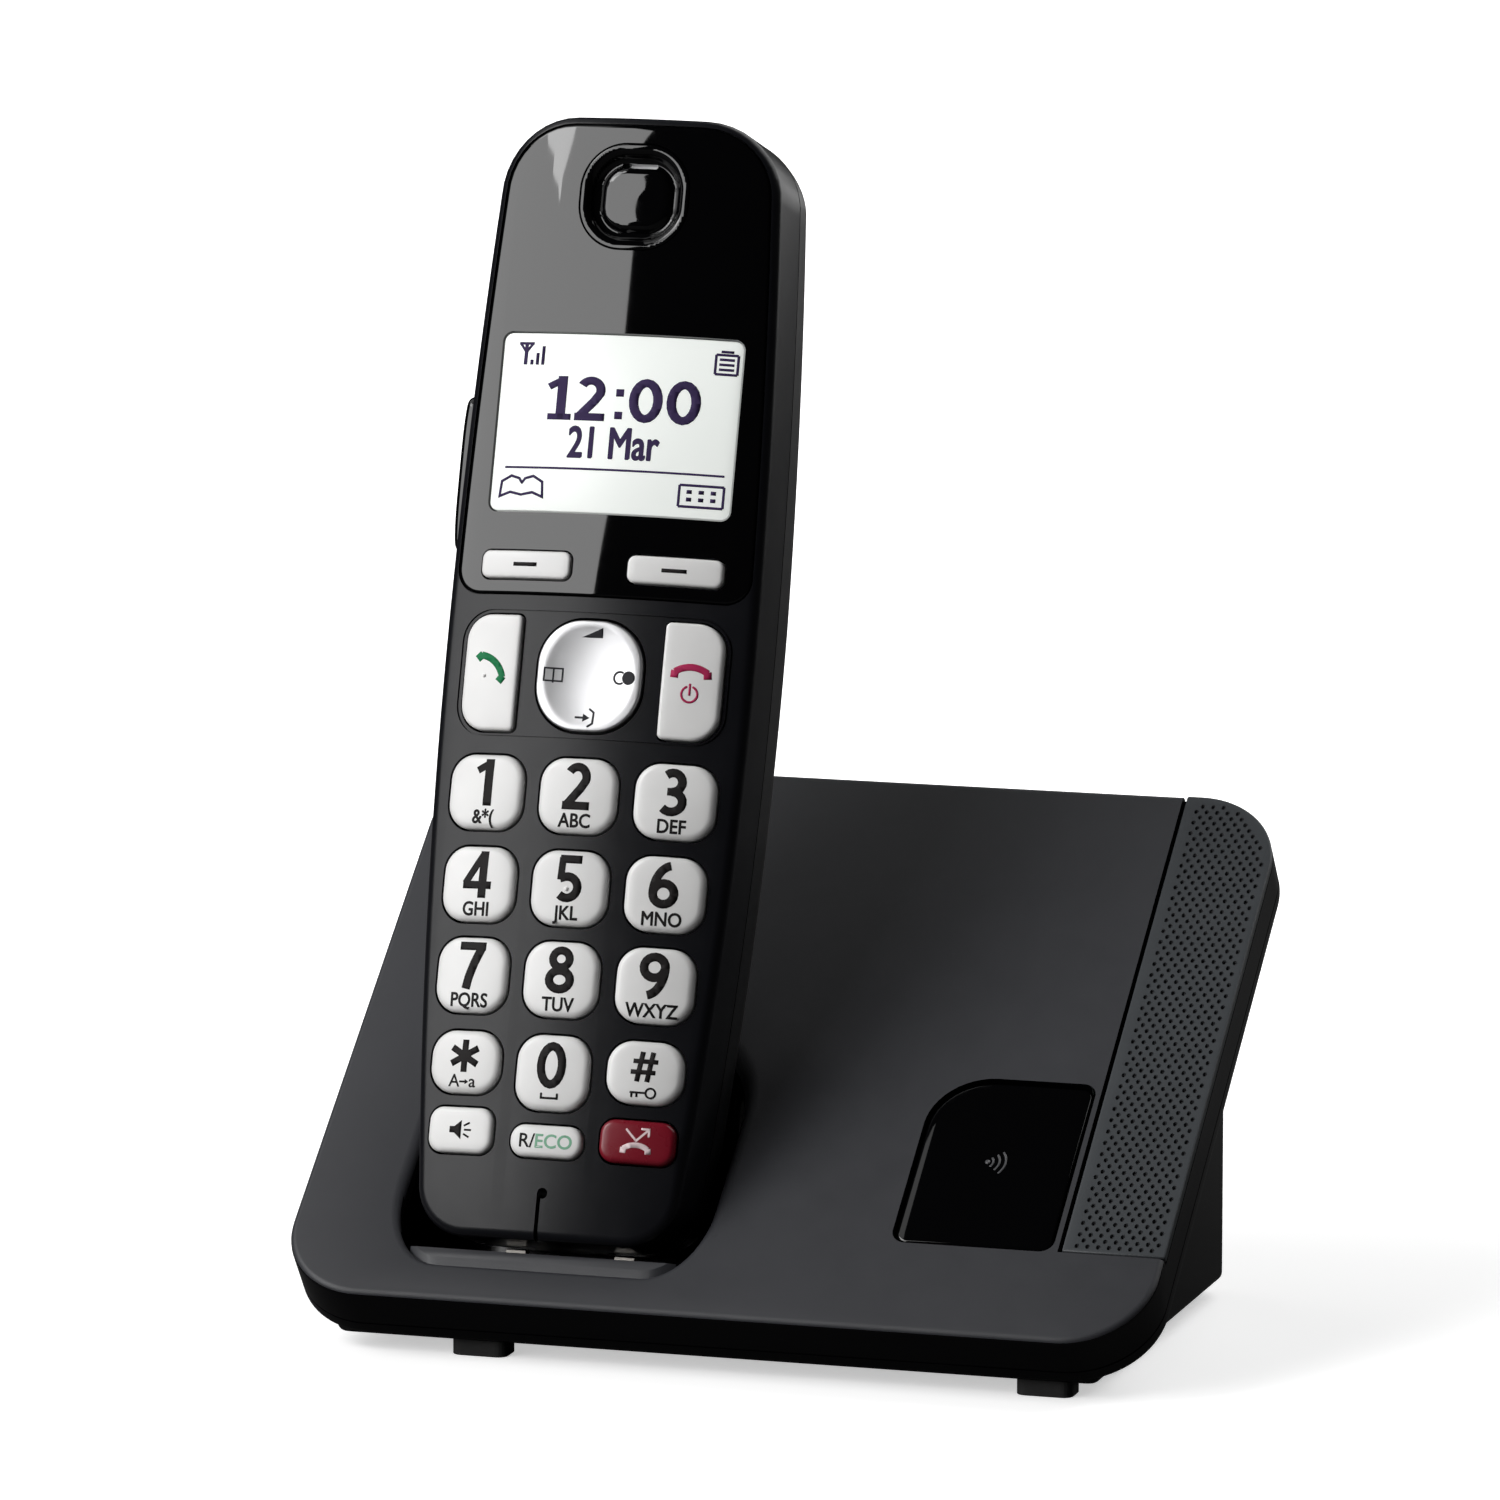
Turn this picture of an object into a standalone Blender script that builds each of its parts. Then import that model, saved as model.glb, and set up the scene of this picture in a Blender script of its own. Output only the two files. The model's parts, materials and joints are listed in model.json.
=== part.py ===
"""Cordless phone on its charging base: a sloping base with a cradle, and the handset that stands in it.

The base lies on z = 0 with its front edge towards -Y. Two tilted frames carry the parts:
the slope frame (X across, Y up the slope, Z out of the panel) and the handset frame
(X across, Y into the handset from its front crest, Z up its length).
"""

import math

import bmesh
import bpy
from mathutils import Matrix, Vector

MM = 0.001
GAP = 0.3 * MM                    # clearance between neighbouring pieces

# Base slab, measured in the slope frame
SLOPE = math.radians(38)
SLAB_WIDTH = 141 * MM
SLAB_LENGTH = 113 * MM
SLAB_THICKNESS = 10.2 * MM
SLAB_CORNER = 14 * MM
BASE_WALL = 2 * MM
PLATE_THICKNESS = 2.6 * MM        # lower plate that closes the slab
STANDOFF = 2.6 * MM               # height of the underside above the ground

# Stand under the slab
STAND_INSET = 8.5 * MM            # from the slab's side
STAND_REAR_INSET = 7.3 * MM       # from the slab's rearmost edge
STAND_CORNER = 6 * MM
STAND_MOUTH = 11 * MM             # where the stand opens into the slab, up the slope
STAND_WALL_TOP = 5 * MM           # depth below the panel that the stand's hollow reaches up to

# Textured strip and locator button on the panel
STRIP_WIDTH = 16.5 * MM
STRIP_START = 18 * MM
STRIP_THICKNESS = 1.1 * MM
STRIP_SINK = 0.15 * MM
BUTTON_WIDTH = 25 * MM
BUTTON_LENGTH = 33 * MM
BUTTON_CORNER = 9.5 * MM
BUTTON_SMALL_CORNER = 1.8 * MM
BUTTON_THICKNESS = 2.6 * MM
BUTTON_SINK = 0.25 * MM
BUTTON_GAP = 0.5 * MM
BUTTON_TRAVEL = 1 * MM
BUTTON_TO_STRIP = 1.9 * MM
STEM_RADIUS = 2.2 * MM
STEM_LENGTH = 1.6 * MM

# Handset
LEAN = math.radians(17.5)
HANDSET_X = -28.3 * MM
HANDSET_Y = 6.2 * MM              # front crest of the bottom end, behind the slab's front edge
HANDSET_RISE = 8.9 * MM           # the same point above the slab's front edge
HANDSET_LENGTH = 178.3 * MM
HANDSET_WIDTH = 51.2 * MM
HANDSET_DEPTH = 27 * MM
TOP_DEPTH = 25 * MM
BARREL_DROP = 3.7 * MM            # half width lost from the middle to as far above it
BARREL_FOOT_DROP = 4.9 * MM       # half width lost at the bottom end
BARREL_MIDDLE = 92 * MM
TAPER_START = 100 * MM
TOP_CORNER = 12.5 * MM
BOTTOM_CORNER = 8.5 * MM
FRONT_RADIUS = 97 * MM            # curvature of the front face
REAR_CORNER = 9 * MM
REAR_FOOT_RADIUS = 6 * MM
REAR_TOP_RADIUS = 11 * MM
SPLIT_DEPTH = 14.5 * MM           # where the front cover ends
COVER_WALL = 2 * MM

# Cradle well, square to the handset
WELL_SIDE_GAP = 1.5 * MM
WELL_FLOOR_GAP = 2 * MM
WELL_REAR_GAP = 1.2 * MM
WELL_FRONT = 1.5 * MM             # behind the handset's front crest
WELL_CORNER = 8.5 * MM
WELL_WALL = 1.6 * MM
WELL_REACH = 60 * MM
WELL_TOP_SKIN = 1 * MM            # the well's walls start this far under the panel

# Layers inside the handset, as depths behind the front crest
ROOF_DEPTH = 4.6 * MM             # inner side of the front cover behind the keys
UPPER_ROOF_DEPTH = 5.9 * MM       # the same behind the display window
UPPER_START = 100 * MM
FLANGE_THICKNESS = 0.7 * MM
FLANGE_LAP = 0.5 * MM
FLANGE_SIDE_CUT = 1.2 * MM
KEY_TRAVEL = 0.7 * MM
KEY_RISE = 1.2 * MM
SOFT_RISE = 0.9 * MM
MAT_THICKNESS = 1 * MM
BOARD_THICKNESS = 1.2 * MM
BOARD_INSET = 4.8 * MM
BOARD_DOWN = 23.3 * MM              # below the handset's top end
BOARD_CORNER = 2 * MM

# Keypad, across (u) and up (v) the handset
ROW_HEIGHTS = (69.9 * MM, 55.3 * MM, 40.9 * MM)
KEY_WIDTH = 12.8 * MM
KEY_NARROWING = 0.25 * MM         # each row down is this much narrower
KEY_WEB = 2.7 * MM                # cover left between two keys of a row
KEY_HEIGHT = 11.9 * MM
KEY_CORNER = 4 * MM
ZERO_HEIGHT = 26.2 * MM
STAR_PITCH = 14.7 * MM
STAR_SIZE = 9.9 * MM
FUNCTION_BASE = 12.9 * MM         # lower edge of the bottom row
FUNCTION_PITCH = 14.5 * MM
FUNCTION_CORNER = 2.3 * MM
SPEAKER_KEY = (11 * MM, 7.2 * MM)
RECALL_KEY = (11.8 * MM, 5.1 * MM)
BLOCK_KEY = (11.8 * MM, 6.8 * MM)

# Navigation cluster
NAV_HEIGHT = 88.9 * MM
NAV_SIZE = (17.2 * MM, 17.6 * MM)
NAV_CORNER = 7.2 * MM
NAV_GAP = 0.5 * MM
NAV_RISE = 0.7 * MM
NAV_DISH_RADIUS = 24 * MM
NAV_DISH_DEPTH = 0.9 * MM
PIVOT_RADIUS = 2.8 * MM
CALL_KEY = (9.4 * MM, 18.5 * MM)
CALL_OFFSET = 16.5 * MM
CALL_CORNER = 4.2 * MM
CALL_INNER_CORNER = 0.8 * MM
SOFT_KEY = (15.2 * MM, 4.4 * MM)
SOFT_OFFSET = 12.3 * MM
SOFT_HEIGHT = 106.2 * MM
SOFT_CORNER = 1.3 * MM

# Window and display
WINDOW_INSET = 1.4 * MM
WINDOW_BOTTOM = 101.6 * MM
WINDOW_CORNER = 4 * MM
WINDOW_THICKNESS = 1.4 * MM
LENS_SIZE = (39.8 * MM, 28.6 * MM)
LENS_HEIGHT = 129.1 * MM
LENS_CORNER = 1.5 * MM
MODULE_MARGIN = 0.5 * MM
MODULE_DEPTH = 4.3 * MM
MODULE_THICKNESS = 3.2 * MM

# Earpiece, microphone, ringer
EAR_DOWN = 12.8 * MM              # below the handset's top end
EAR_SIZE = (18 * MM, 17 * MM)
EAR_CORNER = 7.4 * MM
EAR_RIM = 2.2 * MM
EAR_DISH = 2.4 * MM
EAR_FLOOR = 1.2 * MM
SPEAKER_RADIUS = 6.5 * MM
SPEAKER_THICKNESS = 3.2 * MM
MIC_HEIGHT = 7.4 * MM
MIC_RADIUS = 2 * MM
MIC_THICKNESS = 1.6 * MM
MIC_HOLE = 0.8 * MM
RINGER_HEIGHT = 122 * MM
RINGER_RADIUS = 9.5 * MM
RINGER_THICKNESS = 4 * MM
RINGER_SLOTS = 5
SLOT_PITCH = 2.4 * MM
SLOT_WIDTH = 1 * MM
SLOT_LENGTH = 14 * MM

# Side key
SIDE_KEY_HEIGHT = 121.5 * MM
SIDE_KEY_LENGTH = 25 * MM
SIDE_KEY_WIDTH = 5 * MM
SIDE_KEY_DEPTH = 10 * MM
SIDE_KEY_RISE = 2.4 * MM
SIDE_KEY_CHAMFER = 1 * MM

# Batteries and their door
CELL_RADIUS = 5.25 * MM
CELL_LENGTH = 44.5 * MM
CELL_TO_CELL = 0.5 * MM
CELL_TO_DOOR = 0.8 * MM
TUB_BOTTOM = 19 * MM
TUB_END_ROOM = 2.4 * MM           # for the contact at each end of the cells
TUB_WALL = 1.5 * MM
TUB_FLOOR = 1 * MM
CONTACT_THICKNESS = 0.6 * MM
DOOR_LAP = 4.45 * MM              # past each side of the tub
DOOR_BOTTOM = 9 * MM
DOOR_OVERLAP = 4 * MM             # past the top of the tub
DOOR_THICKNESS = 2.2 * MM
DOOR_SEAT_WALL = 2 * MM

# Charging contacts
TERMINAL_OFFSET = 9 * MM
TERMINAL_SIZE = (5 * MM, 3 * MM)
TERMINAL_DEPTH = 18 * MM
TERMINAL_THICKNESS = 1.2 * MM
TERMINAL_SINK = 0.2 * MM
CONTACT_SIZE = (3.4 * MM, 1.8 * MM)
CONTACT_CLEARANCE = 0.4 * MM
CONTACT_LENGTH = 6 * MM
CONTACT_FOOT = 1.6 * MM

# Base electronics, feet and screws
BOARD_START = (7 * MM, 24 * MM)
BASE_BOARD = (47 * MM, 66 * MM)
BASE_BOARD_DEPTH = 9.2 * MM
BOARD_POST = 5 * MM
SWITCH_SIZE = 6 * MM
JACK_HEIGHT = 17 * MM
LINE_JACK_X = 34 * MM
LINE_JACK = (14 * MM, 15 * MM, 12 * MM)
LINE_SOCKET = (9.6 * MM, 10 * MM, 6.8 * MM)
POWER_JACK_X = 12 * MM
POWER_JACK = (11 * MM, 13 * MM, 11 * MM)
POWER_SOCKET_RADIUS = 3.2 * MM
POWER_SOCKET_DEPTH = 9 * MM
POWER_PIN_RADIUS = 0.9 * MM
POWER_PIN_RECESS = 4.6 * MM
JACK_PROUD = 0.4 * MM
FOOT_SIZE = (9 * MM, 6 * MM)
FOOT_POCKET = 0.8 * MM
FOOT_CORNER = 1.6 * MM
FOOT_X = (-38.7 * MM, 53 * MM)
FOOT_FRONT_Y = 10.5 * MM
FOOT_REAR_INSET = 8 * MM
SCREW_HEAD = 2.8 * MM
SCREW_SHANK = 1.3 * MM
SCREW_HEAD_HEIGHT = 1.6 * MM
SCREW_LENGTH = 8 * MM
SCREW_SINK = 0.6 * MM
SCREW_WALL = 1.6 * MM
SCREW_X = 50 * MM
SCREW_BASE_Y = 60 * MM
COVER_SCREW_X = 14 * MM
COVER_SCREW_DOWN = 28.3 * MM         # below the handset's top end
COVER_SCREW_LAND = 2 * MM         # cover under the head, behind the split

ARC_STEPS = 5
FAR = 400 * MM                    # past everything, for blocks that only cut
PROUD = 5 * MM                    # how far a form starts in front of the face it is trimmed to
SIDE_REACH = 2 * MM               # the same past the handset's sides


# Values that follow from the sizes above

SLOPE_TURN = Matrix.Rotation(SLOPE, 4, "X")
LEAN_TURN = Matrix.Rotation(-LEAN, 4, "X")
EDGE_HEIGHT = STANDOFF + SLAB_THICKNESS * math.cos(SLOPE)
BASE_DEPTH = SLAB_LENGTH * math.cos(SLOPE) + SLAB_THICKNESS * math.sin(SLOPE)
SLOPE_ORIGIN = Vector((0, -BASE_DEPTH / 2, EDGE_HEIGHT))
HANDSET_ORIGIN = Vector((HANDSET_X, HANDSET_Y - BASE_DEPTH / 2, EDGE_HEIGHT + HANDSET_RISE))
COVER_BOTTOM = SLAB_THICKNESS - PLATE_THICKNESS - GAP
STAND_REAR = BASE_DEPTH / 2 - STAND_REAR_INSET
EAR_HEIGHT = HANDSET_LENGTH - EAR_DOWN
COVER_SCREW_V = HANDSET_LENGTH - COVER_SCREW_DOWN
BOARD_TOP = HANDSET_LENGTH - BOARD_DOWN
STAND_HALF = SLAB_WIDTH / 2 - STAND_INSET
FLANGE_DEPTH = ROOF_DEPTH + GAP
MAT_DEPTH = FLANGE_DEPTH + FLANGE_THICKNESS + KEY_TRAVEL + GAP
BOARD_DEPTH = MAT_DEPTH + MAT_THICKNESS + GAP
TUB_LENGTH = CELL_LENGTH + 2 * TUB_END_ROOM
TUB_TOP = TUB_BOTTOM + TUB_LENGTH
DOOR_INNER = HANDSET_DEPTH - DOOR_THICKNESS
CELL_SPACING = 2 * CELL_RADIUS + CELL_TO_CELL
CELL_DEPTH = DOOR_INNER - CELL_TO_DOOR - CELL_RADIUS
TUB_HALF = CELL_SPACING / 2 + CELL_RADIUS + GAP
TUB_DEPTH = CELL_DEPTH - CELL_RADIUS - GAP
DOOR_WIDTH = 2 * (TUB_HALF + DOOR_LAP)
DOOR_TOP = TUB_TOP + DOOR_OVERLAP


def make_collection(name):
    found = bpy.data.collections.new(name)
    bpy.context.scene.collection.children.link(found)
    return found


for old in list(bpy.data.objects):
    bpy.data.objects.remove(old, do_unlink=True)
PARTS = make_collection("cordless_phone")
CUTTERS = make_collection("cutters")


def make_frame(name, origin, turn):
    empty = bpy.data.objects.new(name, None)
    empty.matrix_world = Matrix.Translation(origin) @ turn
    empty.empty_display_size = 0.02
    PARTS.objects.link(empty)
    return empty


SLOPE_FRAME = make_frame("slope_frame", SLOPE_ORIGIN, SLOPE_TURN)
HANDSET_FRAME = make_frame("handset_frame", HANDSET_ORIGIN, LEAN_TURN)
WORLD = None


def make_material(name, colour, roughness, metallic=0.0):
    material = bpy.data.materials.new(name)
    material.use_nodes = True
    shader = material.node_tree.nodes["Principled BSDF"]
    shader.inputs["Base Color"].default_value = (*colour, 1)
    shader.inputs["Roughness"].default_value = roughness
    shader.inputs["Metallic"].default_value = metallic
    return material


SATIN_BLACK = make_material("satin_black_plastic", (0.045, 0.045, 0.052), 0.45)
GLOSS_BLACK = make_material("gloss_black_plastic", (0.006, 0.006, 0.008), 0.08)
STRIP_GREY = make_material("textured_strip", (0.04, 0.045, 0.05), 0.55)
KEY_WHITE = make_material("key_plastic", (0.72, 0.72, 0.70), 0.35)
KEY_RED = make_material("red_key_plastic", (0.22, 0.015, 0.03), 0.3)
SILVER = make_material("silver_paint", (0.6, 0.6, 0.62), 0.3, 0.8)
SCREEN = make_material("screen", (0.85, 0.88, 0.85), 0.1)
RUBBER = make_material("rubber", (0.02, 0.02, 0.02), 0.8)
BOARD = make_material("circuit_board", (0.02, 0.15, 0.05), 0.5)
METAL = make_material("plated_metal", (0.75, 0.72, 0.65), 0.25, 1.0)
STEEL = make_material("steel", (0.5, 0.5, 0.5), 0.35, 1.0)
CELL_WRAP = make_material("cell_wrap", (0.1, 0.35, 0.2), 0.4)
DARK_PLASTIC = make_material("dark_plastic", (0.03, 0.03, 0.03), 0.6)


# Outlines

def arc(centre, radius, start, end, steps=ARC_STEPS):
    """Points along a quarter or any other arc, with angles in degrees."""
    points = []
    for step in range(steps + 1):
        angle = math.radians(start + (end - start) * step / steps)
        points.append((centre[0] + radius * math.cos(angle), centre[1] + radius * math.sin(angle)))
    return points


def rounded_outline(left, right, low, high, radii, steps=ARC_STEPS):
    """A rectangle with its own corner radius at low right, high right, high left and low left."""
    if not isinstance(radii, tuple):
        radii = (radii,) * 4
    low_right, high_right, high_left, low_left = radii
    return (
        arc((right - low_right, low + low_right), low_right, -90, 0, steps)
        + arc((right - high_right, high - high_right), high_right, 0, 90, steps)
        + arc((left + high_left, high - high_left), high_left, 90, 180, steps)
        + arc((left + low_left, low + low_left), low_left, 180, 270, steps)
    )


def centred_outline(width, height, radii, steps=ARC_STEPS):
    return rounded_outline(-width / 2, width / 2, -height / 2, height / 2, radii, steps)


def half_width(v, inset=0.0):
    drop = BARREL_FOOT_DROP if v < BARREL_MIDDLE else BARREL_DROP
    return HANDSET_WIDTH / 2 - inset - drop * ((v - BARREL_MIDDLE) / BARREL_MIDDLE) ** 2


def barrel_outline(inset, low, bottom_corner, side_steps=8):
    """The handset's outline from above its front, its sides bowed, brought in by the inset."""
    top = HANDSET_LENGTH - inset
    top_corner = TOP_CORNER - inset
    start = low + bottom_corner
    end = top - top_corner
    right = arc((half_width(start, inset) - bottom_corner, start), bottom_corner, -90, 0)
    for step in range(1, side_steps):
        v = start + (end - start) * step / side_steps
        right.append((half_width(v, inset), v))
    right += arc((half_width(end, inset) - top_corner, end), top_corner, 0, 90)
    return right + [(-x, v) for x, v in reversed(right)]


def front_arc(radius, reach, steps=14):
    """The curved front in the plane across the handset, as (across, depth), left to right."""
    points = []
    for step in range(steps + 1):
        u = reach * (2 * step / steps - 1)
        points.append((u, FRONT_RADIUS - math.sqrt(radius ** 2 - u ** 2)))
    return points


# Solids

def as_mesh(curve_object, plane):
    """The curve's solid as a mesh object with its own plane's turn worked into the points."""
    depsgraph = bpy.context.evaluated_depsgraph_get()
    mesh = bpy.data.meshes.new_from_object(curve_object.evaluated_get(depsgraph))
    work = bmesh.new()
    work.from_mesh(mesh)
    bmesh.ops.remove_doubles(work, verts=work.verts, dist=0.00001)
    bmesh.ops.transform(work, matrix=plane, verts=work.verts)
    bmesh.ops.recalc_face_normals(work, faces=work.faces)
    work.to_mesh(mesh)
    work.free()
    solid = bpy.data.objects.new(curve_object.name, mesh)
    bpy.data.objects.remove(curve_object, do_unlink=True)
    return solid


FLAT = Matrix.Identity(4)                                        # outline in X and Y, along Z
FACING = Matrix.Rotation(math.pi / 2, 4, "X")                    # outline in X and Z, along Y
SIDEWAYS = Matrix.Rotation(math.pi / 2, 4, "Z") @ FACING         # outline in Y and Z, along X


def extruded(name, outline, start, end, plane, frame, at=(0, 0, 0)):
    """A flat outline drawn out from start to end along the plane's normal axis."""
    curve = bpy.data.curves.new(name, "CURVE")
    curve.dimensions = "2D"
    curve.fill_mode = "BOTH"
    curve.extrude = (end - start) / 2
    spline = curve.splines.new("POLY")
    spline.points.add(len(outline) - 1)
    for point, (x, y) in zip(spline.points, outline):
        point.co = (x, y, 0, 1)
    spline.use_cyclic_u = True
    drawn = bpy.data.objects.new(name, curve)
    CUTTERS.objects.link(drawn)
    solid = as_mesh(drawn, plane)
    solid.name = name
    normal = plane @ Vector((0, 0, 1))
    sign = -1 if plane is FACING else 1
    solid.data.transform(Matrix.Translation(normal * sign * (start + end) / 2))
    solid.parent = frame
    solid.location = at
    return solid


def block(name, low, high, frame):
    """A box between two corners, its origin at its centre."""
    mesh = bpy.data.meshes.new(name)
    work = bmesh.new()
    bmesh.ops.create_cube(work, size=1)
    size = Vector(high) - Vector(low)
    bmesh.ops.scale(work, vec=size, verts=work.verts)
    work.to_mesh(mesh)
    work.free()
    solid = bpy.data.objects.new(name, mesh)
    solid.parent = frame
    solid.location = (Vector(low) + Vector(high)) / 2
    return solid


def rod(name, radius, start, end, plane, frame, at, segments=24):
    """A cylinder from start to end along the plane's normal axis."""
    mesh = bpy.data.meshes.new(name)
    work = bmesh.new()
    bmesh.ops.create_cone(
        work, cap_ends=True, segments=segments, radius1=radius, radius2=radius, depth=end - start
    )
    sign = -1 if plane is FACING else 1
    middle = Matrix.Translation((0, 0, sign * (start + end) / 2))
    bmesh.ops.transform(work, matrix=plane @ middle, verts=work.verts)
    work.to_mesh(mesh)
    work.free()
    solid = bpy.data.objects.new(name, mesh)
    solid.parent = frame
    solid.location = at
    return solid


def as_part(solid, material, smooth_angle=None):
    PARTS.objects.link(solid)
    solid.data.materials.clear()
    solid.data.materials.append(material)
    if smooth_angle:
        solid.data.shade_smooth()
        solid.data.set_sharp_from_angle(angle=math.radians(smooth_angle))
    return solid


def combine(target, operation, tool):
    """Adds an exact Boolean of the target with a tool, which is kept as a guide."""
    if not tool.users_collection:
        CUTTERS.objects.link(tool)
        tool.hide_render = True
        tool.display_type = "WIRE"
    modifier = target.modifiers.new(tool.name, "BOOLEAN")
    modifier.solver = "EXACT"
    modifier.operation = operation
    modifier.object = tool
    return target


def cut(target, *tools):
    for tool in tools:
        combine(target, "DIFFERENCE", tool)
    return target


def keep(target, *tools):
    for tool in tools:
        combine(target, "INTERSECT", tool)
    return target


def add(target, *tools):
    for tool in tools:
        combine(target, "UNION", tool)
    return target


# Handset forms

def handset_section(name, inset):
    """The handset's cross-section drawn along its length: curved front, rounded rear corners."""
    side = HANDSET_WIDTH / 2 - inset
    depth = HANDSET_DEPTH - inset
    corner = REAR_CORNER - inset
    reach = side + SIDE_REACH
    outline = front_arc(FRONT_RADIUS - inset, reach)
    outline += [(reach, depth - corner - MM), (side, depth - corner)]
    outline += arc((side - corner, depth - corner), corner, 0, 90)[1:]
    outline += arc((corner - side, depth - corner), corner, 90, 180)
    outline += [(-reach, depth - corner - MM)]
    return extruded(name, outline, -FAR, FAR, FLAT, HANDSET_FRAME)


def handset_profile(name, inset):
    """The handset's side view: deep at the foot, thinner towards the top."""
    depth = HANDSET_DEPTH - inset
    upper = TOP_DEPTH - inset
    top = HANDSET_LENGTH - inset
    foot = REAR_FOOT_RADIUS - inset
    crown = REAR_TOP_RADIUS - inset
    outline = [(-PROUD, inset)]
    outline += arc((depth - foot, inset + foot), foot, -90, 0)
    outline += [(depth, TAPER_START)]
    outline += arc((upper - crown, top - crown), crown, 0, 90)
    outline += [(-PROUD, top)]
    return extruded(name, outline, -FAR, FAR, SIDEWAYS, HANDSET_FRAME)


def handset_form(name, inset, start, end):
    outline = barrel_outline(inset, inset, BOTTOM_CORNER - inset)
    form = extruded(name, outline, start, end, FACING, HANDSET_FRAME)
    return keep(form, handset_section(name + "_section", inset), handset_profile(name + "_side", inset))


def front_shell(name, outer, inner, reach):
    """A curved sheet that follows the front face between two radii."""
    outline = front_arc(outer, reach) + list(reversed(front_arc(inner, reach)))
    return extruded(name, outline, -FAR, FAR, FLAT, HANDSET_FRAME)


def front_solid(name, rise, depth):
    """Everything behind the front face raised by the rise, down to a flat depth."""
    reach = HANDSET_WIDTH / 2 + SIDE_REACH
    outline = front_arc(FRONT_RADIUS + rise, reach, 18) + [(reach, depth), (-reach, depth)]
    return extruded(name, outline, -FAR, FAR, FLAT, HANDSET_FRAME)


def key_hole(name, u, v, outline, end):
    return extruded(name + "_hole", outline, -PROUD, end, FACING, HANDSET_FRAME, (u, 0, v))


# Keys: name, place, size, corner radii, material

def number_keys():
    rows = (("1", "2", "3"), ("4", "5", "6"), ("7", "8", "9"))
    for row, names in enumerate(rows):
        width = KEY_WIDTH - row * KEY_NARROWING
        for column, name in enumerate(names):
            u = (column - 1) * (width + KEY_WEB)
            yield "key_" + name, u, ROW_HEIGHTS[row], width, KEY_HEIGHT, KEY_CORNER, KEY_WHITE


def lower_keys():
    width = KEY_WIDTH - 3 * KEY_NARROWING
    star_height = ZERO_HEIGHT + (KEY_HEIGHT - STAR_SIZE) / 2
    yield "key_star", -STAR_PITCH, star_height, width, STAR_SIZE, KEY_CORNER, KEY_WHITE
    yield "key_0", 0, ZERO_HEIGHT, width, KEY_HEIGHT, KEY_CORNER, KEY_WHITE
    yield "key_hash", STAR_PITCH, star_height, width, STAR_SIZE, KEY_CORNER, KEY_WHITE
    functions = (
        ("key_speakerphone", -FUNCTION_PITCH, SPEAKER_KEY, KEY_WHITE),
        ("key_recall", 0, RECALL_KEY, KEY_WHITE),
        ("key_call_block", FUNCTION_PITCH, BLOCK_KEY, KEY_RED),
    )
    for name, u, (width, height), material in functions:
        yield name, u, FUNCTION_BASE + height / 2, width, height, FUNCTION_CORNER, material


def call_keys():
    width, height = CALL_KEY
    outer, inner = CALL_CORNER, CALL_INNER_CORNER
    left_corners = (inner, inner, outer, outer)
    right_corners = (outer, outer, inner, inner)
    yield "key_talk", -CALL_OFFSET, NAV_HEIGHT, width, height, left_corners, KEY_WHITE
    yield "key_off", CALL_OFFSET, NAV_HEIGHT, width, height, right_corners, KEY_WHITE


def grown(radii, margin):
    if isinstance(radii, tuple):
        return tuple(radius + margin for radius in radii)
    return radii + margin


def build_keys(cover):
    """The keys that press straight in, each with a lip under the cover, and their holes."""
    top_form = front_solid("key_top_form", KEY_RISE, 2 * ROOF_DEPTH)
    foot = FLANGE_DEPTH + FLANGE_THICKNESS
    for name, u, v, width, height, radii, material in (*number_keys(), *lower_keys(), *call_keys()):
        outline = centred_outline(width, height, radii)
        key = extruded(name, outline, -PROUD, foot, FACING, HANDSET_FRAME, (u, 0, v))
        keep(key, top_form)
        half = width / 2 - FLANGE_SIDE_CUT
        reach = height / 2 + FLANGE_LAP
        lip = block(name + "_lip", (u - half, FLANGE_DEPTH, v - reach), (u + half, foot, v + reach),
                    HANDSET_FRAME)
        add(key, lip)
        as_part(key, material, 40)
        opening = centred_outline(width + 2 * GAP, height + 2 * GAP, grown(radii, GAP))
        cut(cover, key_hole(name, u, v, opening, MAT_DEPTH))


def build_soft_keys(cover, window):
    width, height = SOFT_KEY
    top_form = front_solid("soft_top_form", SOFT_RISE, 2 * UPPER_ROOF_DEPTH)
    lip_start = UPPER_ROOF_DEPTH + GAP
    foot = lip_start + FLANGE_THICKNESS
    for name, u in (("soft_key_left", -SOFT_OFFSET), ("soft_key_right", SOFT_OFFSET)):
        outline = centred_outline(width, height, SOFT_CORNER)
        key = extruded(name, outline, -PROUD, foot, FACING, HANDSET_FRAME, (u, 0, SOFT_HEIGHT))
        keep(key, top_form)
        half = width / 2 - FLANGE_SIDE_CUT
        reach = height / 2 + FLANGE_LAP
        add(key, block(name + "_lip", (u - half, lip_start, SOFT_HEIGHT - reach),
                       (u + half, foot, SOFT_HEIGHT + reach), HANDSET_FRAME))
        as_part(key, KEY_WHITE, 40)
        opening = centred_outline(width + 2 * GAP, height + 2 * GAP, SOFT_CORNER + GAP)
        hole = key_hole(name, u, SOFT_HEIGHT, opening, foot)
        cut(cover, hole)
        cut(window, hole)


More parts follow.
